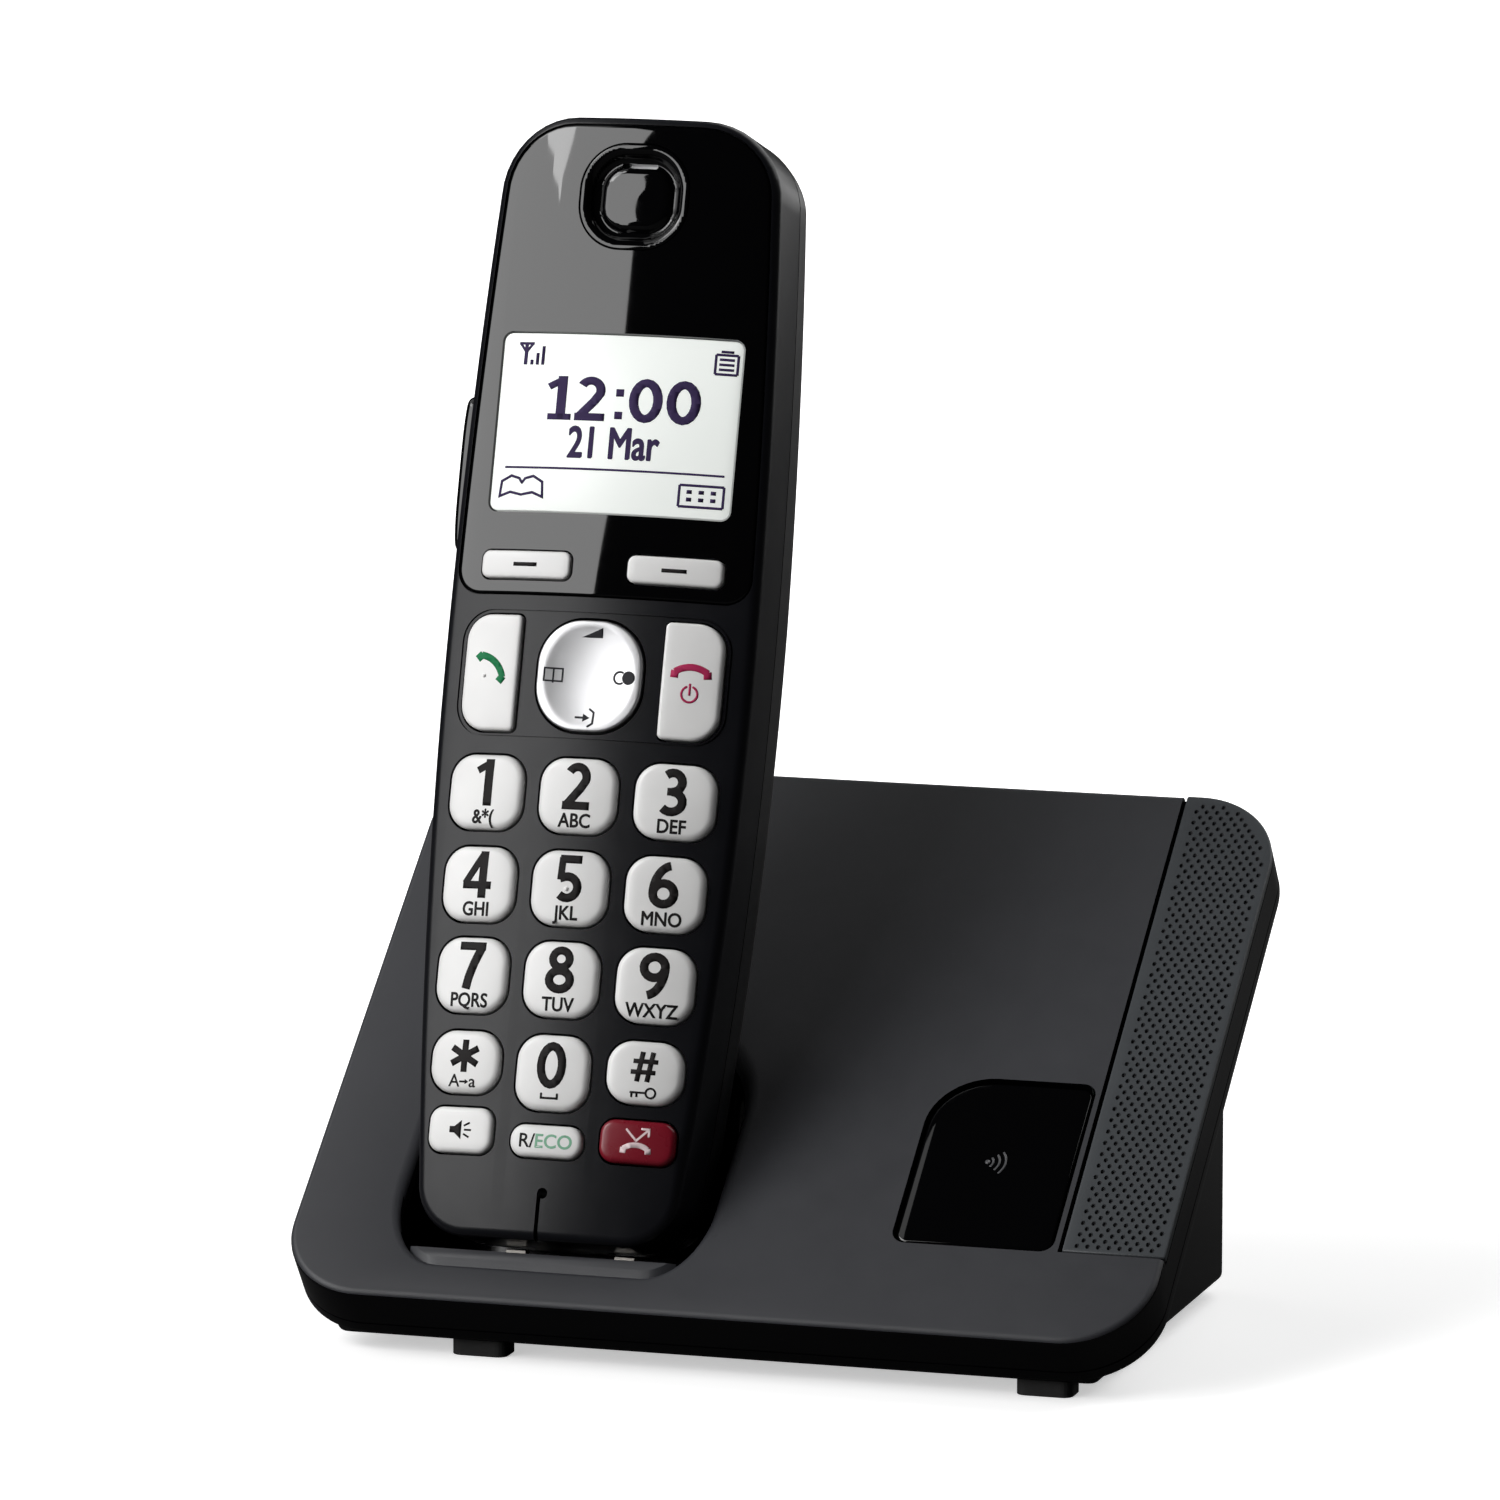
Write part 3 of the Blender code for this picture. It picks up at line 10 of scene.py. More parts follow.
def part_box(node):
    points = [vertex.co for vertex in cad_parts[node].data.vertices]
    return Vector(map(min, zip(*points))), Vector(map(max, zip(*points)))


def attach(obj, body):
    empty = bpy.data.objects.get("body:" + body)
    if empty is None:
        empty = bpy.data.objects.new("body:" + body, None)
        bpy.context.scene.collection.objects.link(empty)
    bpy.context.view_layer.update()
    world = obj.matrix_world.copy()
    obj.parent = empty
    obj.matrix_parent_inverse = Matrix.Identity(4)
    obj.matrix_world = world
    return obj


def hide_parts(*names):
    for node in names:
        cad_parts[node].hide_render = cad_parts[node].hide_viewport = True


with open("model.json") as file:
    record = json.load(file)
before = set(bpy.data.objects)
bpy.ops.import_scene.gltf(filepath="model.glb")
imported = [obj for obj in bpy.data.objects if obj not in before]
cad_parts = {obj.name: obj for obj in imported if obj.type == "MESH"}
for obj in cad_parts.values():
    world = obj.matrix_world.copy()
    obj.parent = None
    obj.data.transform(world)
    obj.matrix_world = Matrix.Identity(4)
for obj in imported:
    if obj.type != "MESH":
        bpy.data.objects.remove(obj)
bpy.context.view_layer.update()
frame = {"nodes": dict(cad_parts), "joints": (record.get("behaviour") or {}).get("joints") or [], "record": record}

MM = 0.001
GAP = 0.3 * MM

# Handset form
BARREL_DROP = 3.7 * MM
BARREL_FOOT_DROP = 4.9 * MM
BARREL_MIDDLE = 92 * MM
TAPER_START = 100 * MM
TOP_DEPTH = 25 * MM
TOP_CORNER = 12.5 * MM
BOTTOM_CORNER = 8.5 * MM
FRONT_RADIUS = 97 * MM
REAR_CORNER = 8 * MM
REAR_FOOT = 6 * MM
REAR_CROWN = 11 * MM
COVER_WALL = 2 * MM
ROOF = 4.6 * MM
COVER_EDGE = 1.5 * MM
WINDOW_INSET = 1.4 * MM

# Base form
SLAB_CORNER = 14 * MM
SLAB_EDGE = 1.1 * MM
PLATE_THICKNESS = 2.6 * MM
STANDOFF = 2.6 * MM
STAND_CORNER = 6 * MM
STAND_MOUTH = 11 * MM
WELL_SIDE = 1.5 * MM
WELL_FLOOR = 2 * MM
WELL_REAR = 1.2 * MM
WELL_FRONT = 1.5 * MM
WELL_CORNER = 8.5 * MM
WELL_WALL = 1.6 * MM
WELL_FILLET = 2.4 * MM

NODES = frame["nodes"]
RECORD = frame["record"]
AXES = {joint["name"]: Vector(joint["axis"]) for joint in frame["joints"]}
BODY = {node: body for body, nodes in RECORD["behaviour"]["bodies"].items() for node in nodes}
SLOT = {part["node"]: part["material_slot"] for part in RECORD["subparts"]}


# Frames: the handset's own (across, into, along) and the panel's own (across, up the slope, out of it)

def extent(node, axis):
    reach = [vertex.co.dot(axis) for vertex in NODES[node].data.vertices]
    return min(reach), max(reach)


def axes_frame(x, y, z, origin):
    matrix = Matrix((x, y, z)).transposed().to_4x4()
    matrix.translation = origin
    return matrix


ACROSS = Vector((1, 0, 0))
ALONG = AXES["handset_lift"].normalized()
INTO = Vector((0, ALONG.z, -ALONG.y))
OUT = -AXES["locator_press"].normalized()
UP_SLOPE = Vector((0, OUT.z, -OUT.y))

cover_low, cover_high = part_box("handset_front_cover")
HANDSET_X = (cover_low.x + cover_high.x) / 2
WIDTH = cover_high.x - cover_low.x
LENGTH = extent("handset_front_cover", ALONG)[1] - extent("handset_front_cover", ALONG)[0]
PHONE = axes_frame(ACROSS, INTO, ALONG, ACROSS * HANDSET_X
                   + INTO * extent("handset_front_cover", INTO)[0]
                   + ALONG * extent("handset_front_cover", ALONG)[0])
PANEL = axes_frame(ACROSS, UP_SLOPE, OUT, UP_SLOPE * extent("base_top_cover", UP_SLOPE)[0]
                   + OUT * extent("base_top_cover", OUT)[1])
WORLD = Matrix.Identity(4)


def local_box(node, matrix):
    """Lowest and highest corner of a CAD node along a frame's own axes."""
    inverse = matrix.inverted()
    points = [inverse @ vertex.co for vertex in NODES[node].data.vertices]
    return (Vector([min(p[i] for p in points) for i in range(3)]),
            Vector([max(p[i] for p in points) for i in range(3)]))


def centre_of(box, first, second):
    """Middle of a box along two of its axes."""
    low, high = box
    return (low[first] + high[first]) / 2, (low[second] + high[second]) / 2


SPLIT = local_box("handset_front_cover", PHONE)[1].y
DEPTH = local_box("handset_rear_cover", PHONE)[1].y
SLAB_WIDTH = local_box("base_top_cover", PANEL)[1].x * 2
SLAB_LENGTH = local_box("base_top_cover", PANEL)[1].y
TO_PANEL = PANEL.inverted()
plate_points = [TO_PANEL @ v.co for v in NODES["base_bottom_cover"].data.vertices]
SLAB_THICKNESS = -min(p.z for p in plate_points if p.y > SLAB_LENGTH - MM)
STAND_REAR = max(v.co.y for v in NODES["base_bottom_cover"].data.vertices if v.co.z < STANDOFF + MM)
STAND_HALF = max(v.co.x for v in NODES["base_bottom_cover"].data.vertices if v.co.z < STANDOFF + MM)
COVER_BOTTOM = SLAB_THICKNESS - PLATE_THICKNESS - GAP

# Planes that outlines are drawn on: a frame, and where (across, along, depth) lies in it
FACE = (PHONE, lambda a, b, t: (a, t, b))
TOP = (PANEL, lambda a, b, t: (a, b, -t))
UNDER = (PANEL, lambda a, b, t: (a, b, t - SLAB_THICKNESS))
GROUND = (WORLD, lambda a, b, t: (a, b, t))
LENGTHWISE = (PHONE, lambda a, b, t: (a, b, t))
LEFT_SIDE = (PHONE, lambda a, b, t: (t, a, b))
REAR = (PHONE, lambda a, b, t: (a, -t, b))
SLOPE = (PANEL, lambda a, b, t: (a, b, t))

# How far cutters reach: in front of the handset, and through everything
CLEAR = -4 * MM
THROUGH = 0.1


# Outlines

def arc(centre, radius, start, end, steps=10):
    points = []
    for step in range(steps + 1):
        angle = math.radians(start + (end - start) * step / steps)
        points.append((centre[0] + radius * math.cos(angle), centre[1] + radius * math.sin(angle)))
    return points


def rounded(left, right, low, high, radii, steps=10):
    """A rectangle with its own corner radius at low right, high right, high left and low left."""
    if not isinstance(radii, tuple):
        radii = (radii,) * 4
    low_right, high_right, high_left, low_left = radii
    return (arc((right - low_right, low + low_right), low_right, -90, 0, steps)
            + arc((right - high_right, high - high_right), high_right, 0, 90, steps)
            + arc((left + high_left, high - high_left), high_left, 90, 180, steps)
            + arc((left + low_left, low + low_left), low_left, 180, 270, steps))


def centred(centre, width, height, radii, steps=10):
    a, b = centre
    return rounded(a - width / 2, a + width / 2, b - height / 2, b + height / 2, radii, steps)


def bow(v):
    drop = BARREL_FOOT_DROP if v < BARREL_MIDDLE else BARREL_DROP
    return WIDTH / 2 - drop * ((v - BARREL_MIDDLE) / BARREL_MIDDLE) ** 2


def barrel(inset, low, corner, steps=30):
    """The handset's outline seen from its front, brought in by the inset."""
    start = low + corner
    end = LENGTH - TOP_CORNER
    top_corner = TOP_CORNER - inset
    right = arc((bow(start) - inset - corner, start), corner, -90, 0)
    right += [(bow(v) - inset, v) for v in (start + (end - start) * i / steps for i in range(1, steps))]
    right += arc((bow(end) - inset - top_corner, end), top_corner, 0, 90)
    return right + [(-a, v) for a, v in reversed(right)]


def front(a, b=0.0):
    """Depth of the handset's curved face."""
    return FRONT_RADIUS - math.sqrt(FRONT_RADIUS ** 2 - a ** 2)


def offsets(points):
    """Outward direction at each point of a loop that runs anticlockwise, longer where it turns."""
    found = []
    count = len(points)
    for i in range(count):
        sides = []
        for p, q in ((points[i - 1], points[i]), (points[i], points[(i + 1) % count])):
            edge = Vector((q[0] - p[0], q[1] - p[1]))
            if edge.length > 1e-9:
                edge.normalize()
                sides.append(Vector((edge.y, -edge.x)))
        mean = sum(sides, Vector((0, 0))).normalized()
        found.append(mean / max(0.5, mean.dot(sides[0])))
    return found


def grown(points, distance):
    return [(p[0] + w.x * distance, p[1] + w.y * distance) for p, w in zip(points, offsets(points))]


# Solids

def spaced(low, high, cell):
    count = int((high - low) / cell)
    return [low + (high - low) * (i + 1) / (count + 1) for i in range(count)]


def slice_up(work, cell):
    """Cuts flat faces into strips or cells so that they can follow a curve."""
    for axis in (0, 1):
        if not cell[axis]:
            continue
        reach = [vertex.co[axis] for vertex in work.verts]
        normal = Vector((axis == 0, axis == 1, 0))
        for at in spaced(min(reach), max(reach), cell[axis]):
            bmesh.ops.bisect_plane(work, geom=work.verts[:] + work.edges[:] + work.faces[:], dist=1e-7,
                                   plane_co=normal * at, plane_no=normal)


def made(work, name, plane, smooth=35):
    """The mesh, turned from (across, along, depth) to its frame, as an object."""
    matrix, place = plane
    for vertex in work.verts:
        vertex.co = place(*vertex.co)
    bmesh.ops.recalc_face_normals(work, faces=work.faces)
    mesh = bpy.data.meshes.new(name)
    work.to_mesh(mesh)
    work.free()
    piece = bpy.data.objects.new(name, mesh)
    bpy.context.scene.collection.objects.link(piece)
    piece.matrix_world = matrix
    soften(piece, smooth)
    return piece


def soften(piece, angle=35):
    piece.data.shade_smooth()
    piece.data.set_sharp_from_angle(angle=math.radians(angle))


def bridge(work, low, high):
    for i in range(len(low)):
        j = (i + 1) % len(low)
        work.faces.new((low[i], low[j], high[j], high[i]))


def prism(name, plane, outline, start, end):
    work = bmesh.new()
    low = [work.verts.new((a, b, start)) for a, b in outline]
    high = [work.verts.new((a, b, end)) for a, b in outline]
    bridge(work, low, high)
    work.faces.new(low)
    work.faces.new(high)
    return made(work, name, plane)


def slab(name, plane, low, high, start, end):
    return prism(name, plane, [(low[0], low[1]), (high[0], low[1]), (high[0], high[1]), (low[0], high[1])],
                 start, end)


def pillow(name, plane, outline, surface, back, edge, cell, steps=5):
    """A closed solid whose face follows a curved surface and turns over a rounded edge to its sides."""
    work = bmesh.new()
    work.faces.new([work.verts.new((a, b, 0)) for a, b in grown(outline, -edge)])
    slice_up(work, cell)
    bmesh.ops.remove_doubles(work, verts=work.verts, dist=0.03 * MM)
    rim = [e for e in work.edges if e.is_boundary]
    links = {}
    for e in rim:
        for vertex in e.verts:
            links.setdefault(vertex, []).append(e.other_vert(vertex))
    loop = [rim[0].verts[0]]
    loop.append(links[loop[0]][0])
    while True:
        following = [v for v in links[loop[-1]] if v is not loop[-2]][0]
        if following is loop[0]:
            break
        loop.append(following)
    flat = [(v.co.x, v.co.y) for v in loop]
    area = sum(p[0] * q[1] - q[0] * p[1] for p, q in zip(flat, flat[1:] + flat[:1]))
    if area < 0:
        loop.reverse()
        flat.reverse()
    ways = offsets(flat)
    for vertex in work.verts:
        vertex.co.z = surface(vertex.co.x, vertex.co.y)
    for step in range(1, steps + 1):
        angle = math.pi / 2 * step / steps
        ring = []
        for (a, b), way in zip(flat, ways):
            a, b = a + way.x * edge * math.sin(angle), b + way.y * edge * math.sin(angle)
            ring.append(work.verts.new((a, b, surface(a, b) + edge * (1 - math.cos(angle)))))
        bridge(work, loop, ring)
        loop = ring
    foot = [work.verts.new((v.co.x, v.co.y, back)) for v in loop]
    bridge(work, loop, foot)
    work.faces.new(foot)
    return made(work, name, plane)


def rings(name, plane, loops):
    """A closed solid through rings of equal count, with flat ends."""
    work = bmesh.new()
    made_rings = [[work.verts.new(p) for p in loop] for loop in loops]
    for low, high in zip(made_rings, made_rings[1:]):
        bridge(work, low, high)
    work.faces.new(made_rings[0])
    work.faces.new(made_rings[-1])
    return made(work, name, plane)


def boolean(target, cutters, operation="DIFFERENCE", smooth=35):
    """Works the cutters into the target and removes them."""
    for cutter in cutters:
        modifier = target.modifiers.new("cut", "BOOLEAN")
        modifier.object = cutter
        modifier.operation = operation
        modifier.solver = "EXACT"
    bpy.context.view_layer.update()
    result = bpy.data.meshes.new_from_object(target.evaluated_get(bpy.context.evaluated_depsgraph_get()))
    target.modifiers.clear()
    target.data = result
    for cutter in cutters:
        bpy.data.objects.remove(cutter)
    result.materials.clear()
    soften(target, smooth)
    return target


def bevelled(piece, width, segments=3, angle=35):
    modifier = piece.modifiers.new("edges", "BEVEL")
    modifier.width = width
    modifier.segments = segments
    modifier.limit_method = "ANGLE"
    modifier.angle_limit = math.radians(angle)
    modifier.harden_normals = True
    return piece


# Flat shapes for printing: each is (points, faces)

def polygon(points):
    return points, [list(range(len(points)))]


def merged(shapes):
    """One outline out of shapes that overlap. It is worked out in millimetres, to stay clear of rounding."""
    points, faces = [], []
    for shape_points, shape_faces in shapes:
        start = len(points)
        points += [Vector(p) / MM for p in shape_points]
        for face in shape_faces:
            ring = [i + start for i in face]
            area = sum(points[i].cross(points[j]) for i, j in zip(ring, ring[1:] + ring[:1]))
            if abs(area) > 1e-6:
                faces.append(ring if area > 0 else ring[::-1])
    corners, _, cells, _, _, sources = delaunay_2d_cdt(points, [], faces, 0, 1e-4, True)
    kept = [list(cell) for cell, source in zip(cells, sources) if source]

    def area(vertices, rings):
        return sum(abs(sum(vertices[i].cross(vertices[j]) for i, j in zip(ring, ring[1:] + ring[:1])))
                   for ring in rings)
    if area(corners, kept) > area(points, faces) * 1.001:
        corners, kept = points, faces
    return [(p.x * MM, p.y * MM) for p in corners], kept


def bar(start, end, width):
    start, end = Vector(start), Vector(end)
    along = (end - start).normalized()
    side = Vector((-along.y, along.x)) * width / 2
    return polygon([tuple(p) for p in (start - side, end - side, end + side, start + side)])


def spots(centre, *places):
    """Points that lie these millimetres from a centre."""
    return [(centre[0] + x * MM, centre[1] + y * MM) for x, y in places]


def box_lines(a, b, wide, tall, thin):
    """The four sides of a box that stands on b."""
    return [bar((a - wide, b), (a + wide, b), thin), bar((a - wide, b), (a - wide, b + tall), thin),
            bar((a + wide, b), (a + wide, b + tall), thin),
            bar((a - wide, b + tall), (a + wide, b + tall), thin)]


def band(points, width):
    """The four-sided pieces of a mitred line."""
    count = len(points)
    closed = (Vector(points[0]) - Vector(points[-1])).length < 1e-9
    sides = []
    for i in range(count):
        before = i - 1 if i else (count - 2 if closed else 0)
        after = i + 1 if i < count - 1 else (1 if closed else i)
        ways = [(Vector(points[j]) - Vector(points[k])).normalized() for j, k in ((i, before), (after, i))
                if j != k]
        ways = [way for way in ways if way.length]
        mean = sum(ways, Vector((0, 0))).normalized()
        side = Vector((-mean.y, mean.x)) * width / 2 / max(0.5, mean.dot(ways[0]))
        sides.append((Vector(points[i]) - side, Vector(points[i]) + side))
    if closed:
        sides[-1] = sides[0]
    return [polygon([tuple(p) for p in (low[0], high[0], high[1], low[1])])
            for low, high in zip(sides, sides[1:])]


def stroke(points, width, caps=True):
    """A line of one width, with round ends if it has caps."""
    shapes = band(points, width)
    if caps:
        shapes += [polygon(arc(p, width / 2, 7, 337, 11)) for p in (points[0], points[-1])]
    return merged(shapes)


def moved(shape, a, b, turn=0.0, size=1.0):
    cos, sin = math.cos(turn) * size, math.sin(turn) * size
    return [(a + x * cos - y * sin, b + x * sin + y * cos) for x, y in shape[0]], shape[1]


def oval(centre, wide, high, start=0.0, end=360.0, steps=20):
    return [(centre[0] + wide * math.cos(math.radians(start + (end - start) * i / steps)),
             centre[1] + high * math.sin(math.radians(start + (end - start) * i / steps)))
            for i in range(steps + 1)]


def lettering(text, height, weight=0.0, wide=1.0):
    """Text with this height of capitals, centred across, standing on its baseline, its strokes thickened."""
    found = []
    for body in ("H", text):
        curve = bpy.data.curves.new("lettering", "FONT")
        curve.body = body
        curve.align_x = "CENTER"
        curve.resolution_u = 4
        holder = bpy.data.objects.new("lettering", curve)
        bpy.context.scene.collection.objects.link(holder)
        bpy.context.view_layer.update()
        mesh = bpy.data.meshes.new_from_object(holder.evaluated_get(bpy.context.evaluated_depsgraph_get()))
        found.append(mesh)
        bpy.data.objects.remove(holder)
        bpy.data.curves.remove(curve)
    scale = height / max(v.co.y for v in found[0].vertices)
    work = bmesh.new()
    work.from_mesh(found[1])
    bmesh.ops.remove_doubles(work, verts=work.verts, dist=1e-5)
    for vertex in work.verts:
        vertex.co = (vertex.co.x * scale * wide, vertex.co.y * scale, 0)
    shapes = [polygon([(v.co.x, v.co.y) for v in face.verts]) for face in work.faces]
    if weight:
        for edge in work.edges:
            if edge.is_boundary:
                p, q = [(v.co.x, v.co.y) for v in edge.verts]
                shapes += [bar(p, q, 2 * weight), polygon(arc(p, weight, 0, 315, 7))]
    work.free()
    return merged(shapes)


# Bold numerals and signs, one unit high on their baseline: strokes, each with its width
BOLD = 0.185
DIGITS = {
    "0": [(oval((0, 0.5), 0.235, 0.41), BOLD)],
    "1": [([(0.07, 0), (0.07, 1)], BOLD + 0.01), ([(0.1, 0.93), (-0.2, 0.75)], BOLD - 0.03)],
    "2": [(oval((-0.01, 0.69), 0.2, 0.222, 150, -20) + [(0.08, 0.45), (-0.2, 0.1)], BOLD),
          ([(-0.3, 0.085), (0.3, 0.085)], BOLD - 0.01)],
    "3": [(oval((-0.04, 0.71), 0.2, 0.205, 135, -90, 12), BOLD),
          (oval((-0.04, 0.295), 0.235, 0.215, 90, -140, 12), BOLD),
          ([(-0.14, 0.507), (0, 0.507)], BOLD - 0.02)],
    "4": [([(0.11, 0), (0.11, 1)], BOLD), ([(-0.34, 0.275), (0.31, 0.275)], BOLD - 0.02),
          ([(0.1, 0.95), (-0.29, 0.3)], BOLD - 0.03)],
    "5": [([(-0.22, 0.915), (0.26, 0.915)], BOLD - 0.01), ([(-0.16, 0.95), (-0.175, 0.47)], BOLD - 0.03),
          ([(-0.19, 0.5)] + oval((-0.02, 0.315), 0.23, 0.228, 105, -135, 14), BOLD)],
    "6": [(oval((0.005, 0.31), 0.225, 0.222), BOLD), (oval((0.17, 0.33), 0.39, 0.585, 180, 98, 12), BOLD)],
    "7": [([(-0.3, 0.915), (0.3, 0.915)], BOLD - 0.01),
          ([(0.21, 0.9), (0.06, 0.55), (-0.04, 0.25), (-0.09, 0)], BOLD + 0.01)],
    "8": [(oval((0, 0.735), 0.185, 0.18), BOLD - 0.01), (oval((0, 0.29), 0.23, 0.2), BOLD)],
    "9": [(oval((-0.005, 0.69), 0.225, 0.222), BOLD),
          (oval((-0.17, 0.67), 0.39, 0.585, 0, -82, 12), BOLD)],
    "hash": [([(-0.2, 0), (-0.06, 1)], BOLD - 0.02), ([(0.14, 0), (0.28, 1)], BOLD - 0.02),
             ([(-0.36, 0.68), (0.46, 0.68)], BOLD - 0.03), ([(-0.42, 0.32), (0.4, 0.32)], BOLD - 0.03)],
    "star": [([(-x, 0.5 - y), (x, 0.5 + y)], BOLD + 0.02) for x, y in
             ((0.5 * math.cos(math.radians(turn)), 0.5 * math.sin(math.radians(turn)))
              for turn in (90, 30, 150))]}


def digit(name, height):
    shapes = []
    for points, width in DIGITS[name]:
        shapes += band([(x * height, y * height) for x, y in points], width * height)
    return merged(shapes)


def sheet(name, plane, shapes, thickness, surface=None, cell=0.9 * MM):
    """Flat shapes given a thickness, laid along a surface if there is one."""
    work = bmesh.new()
    for points, faces in shapes:
        corners = [work.verts.new((a, b, 0)) for a, b in points]
        for face in faces:
            if len(set(face)) > 2:
                work.faces.new([corners[i] for i in face])
    if surface:
        slice_up(work, (cell, cell))
        for vertex in work.verts:
            vertex.co.z = surface(vertex.co.x, vertex.co.y)
    piece = made(work, name, plane)
    solid = piece.modifiers.new("thickness", "SOLIDIFY")
    solid.thickness = thickness
    solid.offset = 0
    return piece


def printed(name, plane, node, surface, shapes, material, cell=0.9 * MM):
    """Ink on a piece: thin solids that lie along its surface and ride with it."""
    finish(sheet(name, plane, shapes, 0.06 * MM, surface, cell), BODY[node], material, SLOT[node])


def finish(piece, body, material, slot, *nodes):
    """The mesh in the row frame, with its material, body and the CAD nodes it stands for. The slot is not used."""
    piece.data.transform(piece.matrix_world)
    piece.matrix_world = Matrix()
    piece.data.materials.clear()
    piece.data.materials.append(material)
    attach(piece, body)
    if nodes:
        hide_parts(*nodes)
    return piece


def stands_for(piece, node, material):
    return finish(piece, BODY[node], material, SLOT[node], node)


# Materials

def material_nodes(name):
    material = bpy.data.materials.new(name)
    material.use_nodes = True
    return material, material.node_tree, material.node_tree.nodes["Principled BSDF"]


def noise(tree, scale, detail=3.0, stretch=None):
    place = tree.nodes.new("ShaderNodeTexCoord").outputs["Object"]
    if stretch:
        mapping = tree.nodes.new("ShaderNodeMapping")
        mapping.inputs["Scale"].default_value = stretch
        tree.links.new(place, mapping.inputs["Vector"])
        place = mapping.outputs["Vector"]
    texture = tree.nodes.new("ShaderNodeTexNoise")
    texture.inputs["Scale"].default_value = scale
    texture.inputs["Detail"].default_value = detail
    tree.links.new(place, texture.inputs["Vector"])
    return texture.outputs["Fac"]


def ranged(tree, value, low, high, start=0.3, end=0.7):
    """Maps a value from start..end to low..high."""
    spread = tree.nodes.new("ShaderNodeMapRange")
    for socket, number in (("From Min", start), ("From Max", end), ("To Min", low), ("To Max", high)):
        spread.inputs[socket].default_value = number
    tree.links.new(value, spread.inputs["Value"])
    return spread.outputs["Result"]


def moulded(name, colour, rough, spread=0.03, grain=0.0, grain_scale=9000, metallic=0.0, specular=0.5,
            tint=0.06, coat=0.0, stretch=None, glow=0.0):
    """Plastic, metal or ink with a little variation in colour and gloss and a fine moulded grain."""
    material, tree, shader = material_nodes(name)
    shader.inputs["Metallic"].default_value = metallic
    shader.inputs["Specular IOR Level"].default_value = specular
    shader.inputs["Coat Weight"].default_value = coat
    shader.inputs["Coat Roughness"].default_value = 0.03
    mix = tree.nodes.new("ShaderNodeMix")
    mix.data_type = "RGBA"
    mix.inputs["A"].default_value = (*[c * (1 - tint) for c in colour], 1)
    mix.inputs["B"].default_value = (*[min(1, c * (1 + tint)) for c in colour], 1)
    tree.links.new(ranged(tree, noise(tree, 60), 0, 1), mix.inputs["Factor"])
    tree.links.new(mix.outputs["Result"], shader.inputs["Base Color"])
    tree.links.new(ranged(tree, noise(tree, 250, 5, stretch), rough - spread, rough + spread),
                   shader.inputs["Roughness"])
    if glow:
        tree.links.new(mix.outputs["Result"], shader.inputs["Emission Color"])
        shader.inputs["Emission Strength"].default_value = glow
    if grain:
        bump = tree.nodes.new("ShaderNodeBump")
        bump.inputs["Strength"].default_value = grain
        bump.inputs["Distance"].default_value = 0.00004
        tree.links.new(noise(tree, grain_scale, 2, stretch), bump.inputs["Height"])
        tree.links.new(bump.outputs["Normal"], shader.inputs["Normal"])
    return material


GLOSS = moulded("gloss_black_plastic", (0.0012, 0.0012, 0.0015), 0.035, 0.01)
FRONT_SATIN = moulded("front_satin_plastic", (0.006, 0.0062, 0.008), 0.3, 0.02, 0.08, specular=0.24)
REAR_SATIN = moulded("rear_satin_plastic", (0.006, 0.006, 0.007), 0.36, 0.03, 0.25, 5000)
PANEL_SATIN = moulded("panel_satin_plastic", (0.028, 0.029, 0.034), 0.5, 0.03, 0.3, 6000)
STRIP_SATIN = moulded("strip_plastic", (0.036, 0.041, 0.046), 0.5, 0.03, 0.25, 6000)
# Gloss black of the base's skirt; inside the cradle well the same near black is painted shade
GLOSS_SKIRT_AND_WELL_SHADE = moulded("skirt_gloss_and_well_shade_plastic", (0.0015, 0.0015, 0.002), 0.12, 0.02, 0.05, specular=0.4)
KEY_WHITE = moulded("white_key_plastic", (0.88, 0.875, 0.865), 0.34, 0.03, 0.06)
KEY_RED = moulded("red_key_plastic", (0.22, 0.008, 0.02), 0.28, 0.03, 0.06)
SILVER = moulded("silver_lacquer", (0.56, 0.56, 0.57), 0.42, 0.04, 0.2, 12000, metallic=0.85)
DIGIT_INK = moulded("digit_ink", (0.014, 0.012, 0.012), 0.6, specular=0.15)
GREEN_INK = moulded("green_ink", (0.008, 0.2, 0.07), 0.6, specular=0.2)
PALE_GREEN_INK = moulded("pale_green_ink", (0.2, 0.46, 0.3), 0.45)
RED_INK = moulded("red_ink", (0.42, 0.02, 0.09), 0.6, specular=0.2)
PINK_INK = moulded("pink_ink", (0.9, 0.72, 0.73), 0.45)
ICON_INK = moulded("icon_ink", (0.02, 0.02, 0.024), 0.6, specular=0.2)
FAINT_INK = moulded("faint_ink", (0.08, 0.08, 0.085), 0.4)
LCD_PALE = moulded("display_pale", (0.83, 0.86, 0.83), 0.25, 0.02, glow=0.34, tint=0.01)
LCD_DARK = moulded("display_segments", (0.045, 0.028, 0.09), 0.6, specular=0.1)
RUBBER = moulded("rubber", (0.012, 0.012, 0.012), 0.8, 0.05, 0.5, 3000)
SILICONE = moulded("key_mat_silicone", (0.05, 0.05, 0.052), 0.7, 0.04, 0.3)
DARK_PLASTIC = moulded("dark_inner_plastic", (0.012, 0.012, 0.013), 0.4, 0.04, 0.2, 4000)
BOARD = moulded("solder_mask", (0.012, 0.11, 0.035), 0.35, 0.06, 0.3, 1500, tint=0.2)
CELL = moulded("cell_sleeve", (0.06, 0.24, 0.14), 0.35, 0.05, 0.1, metallic=0.2)
# Nickel plating whose base colour is kept darker than bare nickel: painted shade for the terminals, which sit in
# shadow in the cradle
NICKEL_WITH_PAINTED_SHADE = moulded("nickel_plate_painted_shade", (0.4, 0.38, 0.35), 0.34, 0.06, 0.3, 3000, metallic=1.0)
